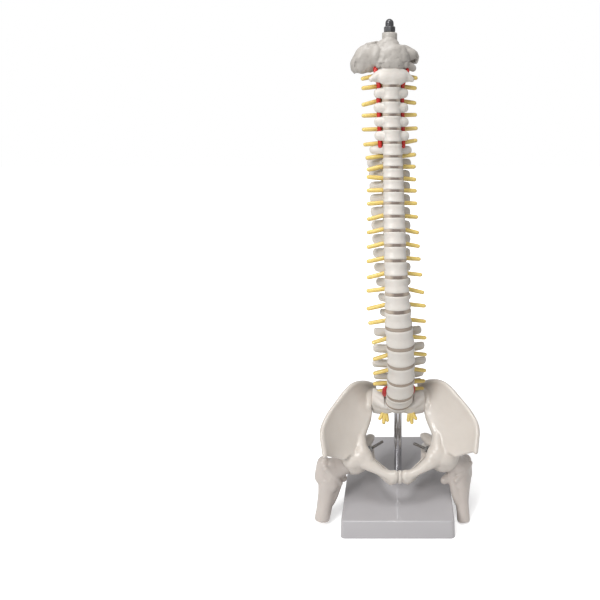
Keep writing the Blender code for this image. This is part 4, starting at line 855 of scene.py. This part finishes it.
def atlas_bone():
    """C1 as one closed ring with its side masses and side processes."""
    level = STOPS[23] + ATLAS_MIDDLE
    front = -by_level(CANAL_DEPTH, 23) - 2 * PEG_RADIUS - 0.0032 - PEG_CLEAR
    right = [((0.0052, front + 0.0008, level), (0.0018, 0.0046)),
             ((0.0096, -0.0058, level), (0.0032, 0.0050)),
             ((0.0102, 0.0010, level), (0.0016, 0.0022)),
             ((0.0066, 0.0082, level), (0.0014, 0.0020))]
    middle = ((0, front, level), (0.0017, 0.0047))
    rear = ((0, 0.0110, level), (0.0017, 0.0022))
    forms = [through([middle] + right + [rear] + other_side(right) + [middle], count=60,
                     domed=False)]
    for sign in (-1, 1):
        hidden = 0.0030 if sign < 0 else 0.0
        forms.append(branch([(sign * 0.0092, -0.0048, level - 0.0006),
                             (sign * 0.0145, -0.0042 + hidden, level - 0.0022),
                             (sign * 0.0192, -0.0026 + hidden, level - 0.0040)],
                            [(0.0034, 0.0040), (0.0030, 0.0034), (0.0026, 0.0028)]))
        forms.append(egg((sign * 0.0108, -0.0070, level - 0.0002), (0.0034, 0.0040, 0.0046)))
    bone = melt([bent(form) for form in forms], BONE_VOXEL["C"], rounds=3, relief=0.00025,
                grain=BONE_GRAIN)
    holes = [bent(round_bar((x, front - 0.0030, z), (x, front - 0.0006, z), VESSEL_HOLE, 12))
             for x, z in ((-0.0034, level - 0.0036), (0.0044, level - 0.0026))]
    return carve(bone, holes)


# The third tone is painted shade in the hollows.
skull_plastic = cast_plastic("skull_plastic", (0.440, 0.412, 0.380), (0.375, 0.349, 0.319),
                             (0.24, 0.22, 0.20), 0.42, 0.25, cloud=5, grain=0.6, pores=0.6)
show("bone_C2", axis_bone(), bone_plastic, "model", "bone", "axis_C2")
show("bone_C1", atlas_bone(), skull_plastic, "model", "bone", "atlas_C1")

# Skull piece, collar and cap nut
# The base of the skull is a rough greyish casting: a block that widens down to the atlas, a
# big hooded wing on the model's right and a smaller one on its left. A sleeve and a dark
# domed nut close the core's end above it.
SKULL_FOOT = STOPS[23] + 0.0101
SKULL_TOP = STOPS[23] + 0.0192
COLLAR_RADIUS = 0.0061
COLLAR_HEIGHT = 0.0075
CAP_HEIGHT = 0.0096
NUT_ACROSS = 0.0082
NUT_HEIGHT = 0.0040
DOME_RADIUS = 0.00335
HOOD_THICKNESS = 0.0026
SKULL_BORE = 0.0042


def box_form(low, high):
    """A plain block between two corners, for cutting."""
    low, high = Vector(low), Vector(high)
    form = bmesh.new()
    bmesh.ops.create_cube(form, size=1, matrix=Matrix.Translation((low + high) / 2)
                          @ Matrix.Diagonal((*(high - low), 1)))
    return mesh_of(form)


def shell(rows, thickness):
    """A sheet over rows of points, thickened to both sides."""
    form = bmesh.new()
    grid = [[form.verts.new(point) for point in row] for row in rows]
    for low, high in zip(grid, grid[1:]):
        for i in range(len(low) - 1):
            form.faces.new((low[i], low[i + 1], high[i + 1], high[i]))
    item = loose(mesh_of(form))
    modify(item, "SOLIDIFY", thickness=thickness, offset=0)
    return settled(item)


def hood_shell():
    """The curved plate behind, larger and lower on the model's right."""
    left = [(.0275, -.0030), (.0300, .0000), (.0306, .0040), (.0282, .0090), (.0238, .0139),
            (.0176, .0182), (.0092, .0198)]
    right = [(.0226, .0045), (.0240, .0070), (.0244, .0098), (.0226, .0124), (.0188, .0146),
             (.0132, .0165), (.0070, .0182)]
    rows = []
    for (far_left, low_left), (far_right, low_right) in zip(left, right):
        row = []
        for a in np.radians(np.linspace(-108, 108, 37)):
            share = (1 + sin(a)) / 2
            reach = far_left + (far_right - far_left) * share
            row.append(Vector((reach * sin(a), 0.62 * reach * cos(a) + 0.004,
                               STOPS[23] + low_left + (low_right - low_left) * share)))
        rows.append(row)
    return shell(rows, HOOD_THICKNESS)


def skull_bone():
    """The whole skull piece, with room below for the atlas and its side processes."""
    base = STOPS[23]
    forms = [hood_shell(),
             branch([(0, -0.0062, base + 0.0044), (-0.0004, -0.0060, SKULL_FOOT),
                     (-0.0012, -0.0036, base + 0.0145), (0, -0.0006, SKULL_TOP)],
                    [(0.0154, 0.0078), (0.0142, 0.0076), (0.0120, 0.0072), (0.0076, 0.0074)],
                    up=(0, 1, 0), sides=32, domed=False, count=24),
             egg((-0.0125, -0.0048, base + 0.0096), (0.0058, 0.0068, 0.0080)),
             egg((-0.0225, 0.0020, base + 0.0020), (0.0078, 0.0058, 0.0058))]
    for side, out, low, wide, tall in ((-1, 0.0176, 0.0078, 0.0116, 0.0106),
                                       (1, 0.0150, 0.0112, 0.0086, 0.0050)):
        forms.append(egg((side * out, 0.0010, base + low), (wide, 0.0070, tall)))
        forms.append(branch([(side * 0.005, -0.002, base + 0.0160),
                             (side * out, 0.0005, base + low + tall * 0.7),
                             (side * (out + wide * 0.8), 0.0040, base + low + tall * 0.1),
                             (side * (out + wide * 0.75), 0.0060, base + low - tall * 0.5)],
                            [(0.0036, 0.0030), (0.0030, 0.0026), (0.0024, 0.0022), 0.0020],
                            count=20))
    mesh = melt(forms, 0.00056, rounds=3, relief=0.0013, grain=0.006)
    return bent(carve(mesh, [round_bar((0, 0, base - 0.02), (0, 0, base + 0.0130), SKULL_BORE),
                             egg((0.0232, -0.0050, base + 0.0086), (0.0022, 0.0045, 0.0028)),
                             box_form((-0.0136, -0.0090, base - 0.012),
                                      (0.0136, 0.0140, SKULL_FOOT))]))


def hexagon(across, profile, foot, start=0.0):
    """A six-sided nut from shares of its corner radius and heights."""
    corner = across / 2 / cos(pi / 6)
    return turned([(corner * share, z) for share, z in profile], 6, foot, start)


show("skull_piece", skull_bone(), skull_plastic, "model", "bone", "occipital_bone")

collar_low = SKULL_TOP + 0.0003
collar = turned([(0.0001, 0), (COLLAR_RADIUS + 0.0006, 0), (COLLAR_RADIUS + 0.0005, 0.0006),
                 (COLLAR_RADIUS + 0.0001, 0.0014), (COLLAR_RADIUS, 0.0022),
                 (COLLAR_RADIUS, COLLAR_HEIGHT - 0.0009),
                 (COLLAR_RADIUS - 0.0003, COLLAR_HEIGHT - 0.0003),
                 (COLLAR_RADIUS - 0.0009, COLLAR_HEIGHT), (0.0001, COLLAR_HEIGHT)], 48,
                (0, 0, collar_low))
show("top_sleeve", bent(collar), skull_plastic, "model", "bone", "top_collar", sharp=60)

cap_low = collar_low + COLLAR_HEIGHT + 0.0003
dome_low = CAP_HEIGHT - DOME_RADIUS
dome = [(DOME_RADIUS, NUT_HEIGHT - 0.0010), (DOME_RADIUS, dome_low)]
dome += [(DOME_RADIUS * cos(a), dome_low + DOME_RADIUS * sin(a))
         for a in np.radians((15, 30, 45, 60, 75, 88))]
cap = heap([hexagon(NUT_ACROSS, [(0.94, 0), (1.0, 0.0004), (1.0, NUT_HEIGHT - 0.0005),
                                 (0.90, NUT_HEIGHT)], (0, 0, cap_low), pi / 6),
            turned(dome, 40, (0, 0, cap_low))])
# The third tone is painted shade in the hollows.
dark_nut = cast_plastic("dark_nut_plastic", (0.050, 0.050, 0.054), (0.036, 0.036, 0.040),
                        (0.015, 0.015, 0.015), 0.30, 0.10, cloud=3, grain=0.3, coat=0.3)
show("domed_cap_nut", bent(cap), dark_nut, "model", "dark_nut", "cap_nut", sharp=30)

# Core
# Both ends of the bendable steel core can be seen past the bones, so it keeps its plating.
# It runs from the rod up the canal and ends inside the cap nut.
CORE_RADIUS = 0.002
bend_start = Vector(bend_points([(0, 0, 0)])[0])
core_line = [(0, 0, ROD_TOP - 0.0097), (0, 0, ROD_TOP)]
core_line += [(bend_start.x * share, bend_start.y * share ** 2, ROD_TOP + CORE_BEND * share * 0.9)
              for share in (0.4, 0.7)]
core_line += list(bend_points([(0, 0, s) for s in np.linspace(0, cap_low + 0.0068, 90)]))
show("steel_core", branch(core_line, [CORE_RADIUS] * 2, up=(0, 1, 0), sides=16, count=140,
                          domed=False), steel_plating, "model", "steel", "core_wire", sharp=40)

# Sacrum
# The column's foot: a curved wedge with broad wings, four pairs of nerve holes and the
# tail bone at its tip. It sits on the rod, and its wings meet the hip bones.
PELVIS_TURN = 2.5
PELVIS = Matrix.Rotation(radians(PELVIS_TURN), 4, "Z")
JOINT_FRONT, JOINT_BACK = 0.0262, 0.0205
JOINT_GAP = 0.0002
NERVE_HOLE = 0.0014


def limb(points, halves, **more):
    """A branch in millimetres, with points across, forward of the rod, and up."""
    halves = [tuple(part / 1000 for part in half) if isinstance(half, tuple) else half / 1000
              for half in halves]
    return branch([pelvis_point(*point) for point in points], halves, **more)


def lump(point, halves):
    """An egg in millimetres, placed as a limb's points are."""
    return egg(pelvis_point(*point), [half / 1000 for half in halves])


def joint_block(inner):
    """Everything on one side of the slanted joint between sacrum and hip bone."""
    shift = (-JOINT_GAP if inner else JOINT_GAP) / 2
    front, back = JOINT_FRONT + shift, JOINT_BACK + shift
    slope = (front - back) / 0.034
    ahead, far = (0.030, 0.060) if inner else (0.015, 0.0)
    return skin([[Vector((back - 0.016 * slope, 0.042, z)),
                  Vector((front + (ahead - 0.010) * slope, -ahead, z)),
                  Vector((far, -ahead, z)), Vector((far, 0.042, z))] for z in (0.080, 0.145)])


def mirrored(mesh):
    """The same form for the other side."""
    mesh.transform(Matrix.Diagonal((-1, 1, 1, 1)))
    mesh.flip_normals()
    return mesh


def sacrum_bone():
    """Sacrum and tail bone, cut off flat below the last disc."""
    spine = [((13.0, 109.5), 11.5, 7.6), ((8.0, 108.2), 16.5, 7.2), ((3.5, 106.0), 20.0, 7.2),
             ((-2.0, 104.0), 19.0, 6.5), ((-7.5, 101.5), 18.0, 6.5), ((-13.0, 99.2), 15.5, 5.4),
             ((-18.0, 96.5), 14.2, 5.2), ((-22.5, 94.0), 11.5, 4.2), ((-27.0, 91.0), 9.6, 4.2),
             ((-30.4, 87.6), 5.6, 3.0), ((-33.0, 84.5), 5.2, 3.2), ((-35.2, 80.6), 2.8, 2.0),
             ((-37.0, 77.0), 2.4, 1.9)]
    forms = [limb([(0, f, z) for (f, z), _, _ in spine], [size[1:] for size in spine], sides=28,
                  count=60)]
    for sign in (-1, 1):
        forms += [limb([(sign * 5, 9, 106), (sign * 13, 7, 106.5), (sign * 20, 3, 107),
                        (sign * 28, -1.5, 107)],
                       [(6.0, 7.5), (6.4, 11.2), (7.0, 13.4), (7.2, 13.6)], sides=24,
                       domed=False),
                  limb([(sign * 12, 12, 108), (sign * 19, 9, 110), (sign * 25, 4, 112)],
                       [4.0, (3.6, 5.0), (3.6, 5.0)]),
                  limb([(sign * 10, -3, 117), (sign * 8, -10, 113)], [3.2, 2.8])]
        forms += [lump((sign * out, f, z - 1.5), (2.0, 2.6, 1.8))
                  for f, z, out in ((-8, 111, 7.5), (-16, 106, 6.6), (-24, 100, 5.0))]
    forms.append(limb([(0, -1, 118), (0, -13, 110.5), (0, -25, 99)],
                      [(6.0, 7.8), (4.0, 5.6), (3.0, 3.8)]))
    forms += [lump((0, f, z), (1.6, 3.0, 3.0))
              for f, z in ((-6, 116.5), (-13, 113), (-20, 107.5), (-26, 100.5))]
    cap_low = -by_level(DISC_HEIGHT, 0) / 2 - GAP
    forms.append(bent(skin([body_outline(0, cap_low + rise, scale) for rise, scale in
                            ((-0.0075, 0.97), (-0.0040, 0.985), (-0.0008, 1.0),
                             (0.0006, 0.99))])))
    mesh = melt(forms, 0.00069, rounds=6, relief=0.0003, grain=0.008)
    knives = [bent(box_form((-0.0145, -0.0260, cap_low), (0.0145, 0.0170, 0.03)))]
    for sign in (-1, 1):
        wall = joint_block(True) if sign > 0 else mirrored(joint_block(True))
        wall.transform(PELVIS)
        knives.append(wall)
        knives += [round_bar(pelvis_point(sign * out, f + 4, z - 14),
                             pelvis_point(sign * out, f - 6, z + 14), NERVE_HOLE, 20)
                   for f, z, out in ((-6.0, 100, 10.5), (-12.0, 97.5, 9.2), (-17.5, 95, 8.0),
                                     (-24, 90, 6.0))]
    return carve(mesh, knives)


show("sacrum_bone", sacrum_bone(), bone_plastic, "model", "bone", "sacrum")

# Hip bones
# Each is one glossy casting: a thin hollowed wing with a thick crest, the socket, the bar to
# the middle in front and the seat bone below. A pad joins the two in front.
HIP_CENTRE = pelvis_point(45.0, 28.0, 58.5)
BALL_RADIUS = 0.0118
SOCKET_WALL = 0.0040
NECK_ROOM = 0.0113
STUD_AIM = {-1: (16.3, 11.5, 4.0), 1: (18.6, 12.0, 1.6)}
NECK_ANGLES = {-1: (22, 0, 3), 1: (-25, -31, 25)}
STUD_RADIUS = 0.0015
NUT_PLACE = 0.0193
PAD_HALF = 0.0016
WING_THICKNESS = 0.0044
BALL_CLEAR = 0.0009
STUD_CLEAR = 0.0004
NUT_SEAT = 0.0046


def thigh_frame(sign):
    """Place and turn of one thigh bone: neck forward, neck up, shaft forward, in degrees."""
    ahead, rise, swing = NECK_ANGLES[sign]
    centre = PELVIS @ Vector((sign * HIP_CENTRE.x, HIP_CENTRE.y, HIP_CENTRE.z))
    return (Matrix.Translation(centre) @ Matrix.Rotation(radians(-sign * ahead), 4, "Z")
            @ Matrix.Rotation(radians(-sign * rise), 4, "Y")
            @ Matrix.Rotation(radians(-swing), 4, "X"))


def along_stud(sign, distance):
    """A point on a stud's line, from the ball's centre inwards."""
    aim = STUD_AIM[sign]
    inward = Vector((-sign * aim[0], aim[1], aim[2])).normalized()
    return thigh_frame(sign).to_translation() + inward * distance


def wing_sheet():
    """The hollowed wing between the brim and the crest, and its thick crest."""
    crest = curve_points([pelvis_point(*p) for p in (
        (22, -22, 112), (34, -6, 124), (45, 8, 128), (57, 22, 120), (66.5, 36, 111.5),
        (71, 48, 103), (68.5, 60, 86.0))], 33)
    brim = curve_points([pelvis_point(*p) for p in (
        (23, -22, 100), (25, -8, 102), (25.5, 8, 99), (30, 16, 92), (35, 23, 84.5), (40, 33, 74),
        (52, 47, 71.5))], 33)
    rows = [[low.lerp(high, v) + Vector((0.45, 0.75, -0.35)) * (0.012 * v * (1 - v))
             for low, high in zip(brim, crest)] for v in np.linspace(0, 1, 12)]
    return [shell(rows, WING_THICKNESS), branch(crest, [0.0025] * 2, count=60)]


def hip_casting(sign):
    """One hip bone: wing, brim, socket, the bar to the middle, the seat bone and its web."""
    forms = wing_sheet() + [
        limb([(26, -20, 106), (29, -4, 107), (29, 6, 104)], [6.2, 7.0, 5.0]),
        limb([(27.5, 8, 99), (31, 14, 92), (36.0, 22, 83.5), (39.5, 27, 74), (40, 30, 66)],
             [3.4, 3.8, 4.6, 6.6, 10.0], count=30),
        limb([(60, 44.5, 80.5), (51, 37.5, 72), (42, 32, 66)], [2.6, 5.6, 9.6]),
        lump((36.5, 34.5, 66.5), (10.5, 9.5, 11.0)),
        lump((44, 34, 64), (12.5, 11.0, 11.0)),
        limb([(37, 25, 82), (36, 32, 73), (31, 38, 65.5)], [4.4, 6.2, 6.4]),
        egg(HIP_CENTRE + Vector((-0.0015, 0.0010, 0.0010)), (BALL_RADIUS + SOCKET_WALL,) * 3, 20),
        limb([(40, 33, 65), (31, 39, 62.0), (24, 42.5, 59.4), (17, 45.4, 56.2), (11, 47, 54.0),
              (6, 47.5, 52.8)],
             [(9.0, 8.5), (7.0, 6.6), (5.6, 5.2), (4.4, 3.9), (4.8, 4.4), 5.2], count=40),
        lump((7.4, 48.3, 51.2), (5.8, 4.0, 6.2)),
        limb([(5.2, 47.3, 53.0), (5.8, 46.0, 48.0)], [(5.6, 5.4), (5.2, 5.0)]),
        lump((9.5, 49.5, 53.6), (3.0, 2.6, 2.2)),
        limb([(40, 18, 56), (33, 4, 52), (30, -8, 45)], [10.0, 7.0, 6.0]),
        limb([(36, 10, 62), (29, -3, 61), (26, -8, 60)], [7.0, 5.0, 3.0]),
        limb([(30, -8, 44), (25, 12, 40), (15, 32, 41), (8, 43, 43.5)], [5.4, 3.6, 3.4, 4.0]),
        limb([(35, 8, 52), (23, 27, 50.5), (11, 41, 50)], [(1.4, 7.5), (1.4, 7.5), (1.4, 6.0)])]
    mesh = melt(forms, 0.00084, rounds=13, relief=0.0005, grain=0.016)
    middle = pelvis_point(22.5, 27.5, 51)
    across = Vector((0.75, -0.66, 0)) * 0.006
    knives = [egg(HIP_CENTRE, (BALL_RADIUS + BALL_CLEAR,) * 3, 32), joint_block(False),
              box_form((-0.02, -0.08, 0.0), (PAD_HALF + 0.0002, 0.0, 0.085)),
              branch([middle - across, middle + across], [(0.0052, 0.0020)] * 2, sides=24,
                     domed=False)]
    if sign < 0:
        knives = [mirrored(knife) for knife in knives]
        mesh = mirrored(mesh)
    for part in [mesh] + knives:
        part.transform(PELVIS)
    neck = thigh_frame(sign)
    knives += [round_bar(neck @ Vector((sign * 0.004, 0, -0.0012)),
                         neck @ Vector((sign * 0.050, 0, -0.0110)), NECK_ROOM, 48, 1.15),
               round_bar(along_stud(sign, 0.006), along_stud(sign, 0.030),
                         STUD_RADIUS + STUD_CLEAR, 24),
               round_bar(along_stud(sign, NUT_PLACE - 0.0003), along_stud(sign, 0.034),
                         NUT_SEAT, 32)]
    return carve(mesh, knives)


# The third tone is painted shade in the hollows.
pelvis_plastic = cast_plastic("pelvis_plastic", (0.60, 0.555, 0.505), (0.56, 0.510, 0.460),
                              (0.36, 0.30, 0.25), 0.32, 0.035, cloud=14, grain=0.8, pores=0.3,
                              coat=0.16, soft=0.06)
for name, sign in SIDES:
    show("hip_casting_" + name, hip_casting(sign), pelvis_plastic, "model", "pelvis",
         "hip_bone_" + name)

front_pad = skin([[Vector((x * PAD_HALF, -(0.0468 + (0.0052 * cos(a) + 0.0008 * sin(a)) * swell),
                           0.0508 + 0.0077 * sin(a) * swell))
                   for a in (2 * pi * n / 32 for n in range(32))]
                  for x, swell in ((-1, 0.90), (-0.6, 0.96), (0.6, 0.96), (1, 0.90))])
front_pad.transform(PELVIS)
show("front_pad", front_pad, pelvis_plastic, "model", "pelvis", "pubic_symphysis", sharp=50)

# Thigh bone stumps
# The same glossy casting: ball, neck, two mounds for the muscles and a cut-off shaft. Each
# turns on a threaded stud that runs through the socket wall to a nut inside the pelvis.
FOOT_CLEARANCE = 0.0014
STUD_SEAT = 0.0060
HEAD_START = BALL_RADIUS - STUD_SEAT
STUD_LENGTH = 0.0300
THREAD_PITCH = 0.0005
THREAD_DEPTH = 0.00022
HIP_NUT_ACROSS = 0.0055
HIP_NUT_HEIGHT = 0.0024


def thigh_casting(sign):
    """One thigh bone stump, hung at its own angle. The left one is slimmer beside the base."""
    slim, spread = (0.84, 1.3) if sign > 0 else (1.0, 0.0)
    forms = [egg((0, 0, 0), (BALL_RADIUS,) * 3, 24),
             limb([(4, 0, -1), (12, 0, -3), (21, 0, -6)], [10.6, (10.2, 10.4), (10.6, 11.0)]),
             limb([(22, 0, -4), (24, 1, -18)], [10.4] * 2),
             limb([(28.5, -2, 2.5), (30.5, -1, -11)], [6.8, 8.1]),
             limb([(28, 6.5, 1), (21, 8.5, -8), (15, 6, -19)], [2.8, 2.6, 2.4]),
             limb([(13, 0, -10), (20, 1, -25), (27, 2.5, -37)],
                  [5.2, 6.4 * slim, 6.6 * slim * slim]),
             limb([(25, 1, -12), (27.5, 2, -25), (31 + spread / 2, 3.5, -38),
                   (35.4 + spread, 5.2, -54.5)],
                  [(10.6, 9.6), (8.8, 8.2), (7.7 * slim, 7.4 * slim), (7.4 * slim, 7.2 * slim)],
                  up=(0, 1, 0), sides=28, domed=False),
             limb([(16, -3, -16), (9.5, -4.5, -21)], [6.2, 4.2])]
    mesh = melt(forms, 0.00078, rounds=10, relief=0.0007, grain=0.010)
    if sign < 0:
        mesh = mirrored(mesh)
    mesh.transform(thigh_frame(sign))
    if sign > 0:
        mesh = carve(mesh, [box_form((0, -0.12, -0.05), (0.12, 0.12, FOOT_CLEARANCE))])
    return mesh


def on_stud(mesh, sign):
    """Turn a mesh made along Z onto a stud's line, from the ball's centre."""
    origin = along_stud(sign, 0)
    turn = (along_stud(sign, 0.01) - origin).to_track_quat("Z", "Y").to_matrix().to_4x4()
    mesh.transform(Matrix.Translation(origin) @ turn)
    return mesh


def thread():
    """A stud with a real thread, cut square at both ends."""
    rings = []
    for z in np.arange(HEAD_START, HEAD_START + STUD_LENGTH, THREAD_PITCH / 5):
        ring = []
        for n in range(20):
            share = (z / THREAD_PITCH - n / 20) % 1.0
            radius = STUD_RADIUS - THREAD_DEPTH * abs(2 * share - 1)
            ring.append(Vector((radius * cos(2 * pi * n / 20), radius * sin(2 * pi * n / 20), z)))
        rings.append(ring)
    return skin(rings)


# The third tone is painted shade in the hollows.
thigh_plastic = cast_plastic("thigh_plastic", (0.54, 0.490, 0.450), (0.49, 0.435, 0.400),
                             (0.32, 0.26, 0.22), 0.30, 0.035, cloud=12, grain=0.8, pores=0.3,
                             coat=0.20, soft=0.06)
stud_steel = plated("stud_steel", (0.36, 0.35, 0.34), 0.16)
for name, sign in SIDES:
    body = "thigh_" + name
    nut = hexagon(HIP_NUT_ACROSS, [(0.93, 0), (1, 0.0003), (1, HIP_NUT_HEIGHT - 0.0003),
                                   (0.93, HIP_NUT_HEIGHT)], (0, 0, NUT_PLACE))
    show("thigh_casting_" + name, thigh_casting(sign), thigh_plastic, body, "pelvis",
         "femur_" + name)
    show("threaded_stud_" + name, on_stud(thread(), sign), stud_steel, body, "steel",
         "hip_stud_" + name, sharp=25)
    show("stud_nut_" + name, on_stud(nut, sign), stud_steel, body, "steel", "hip_nut_" + name,
         sharp=20)
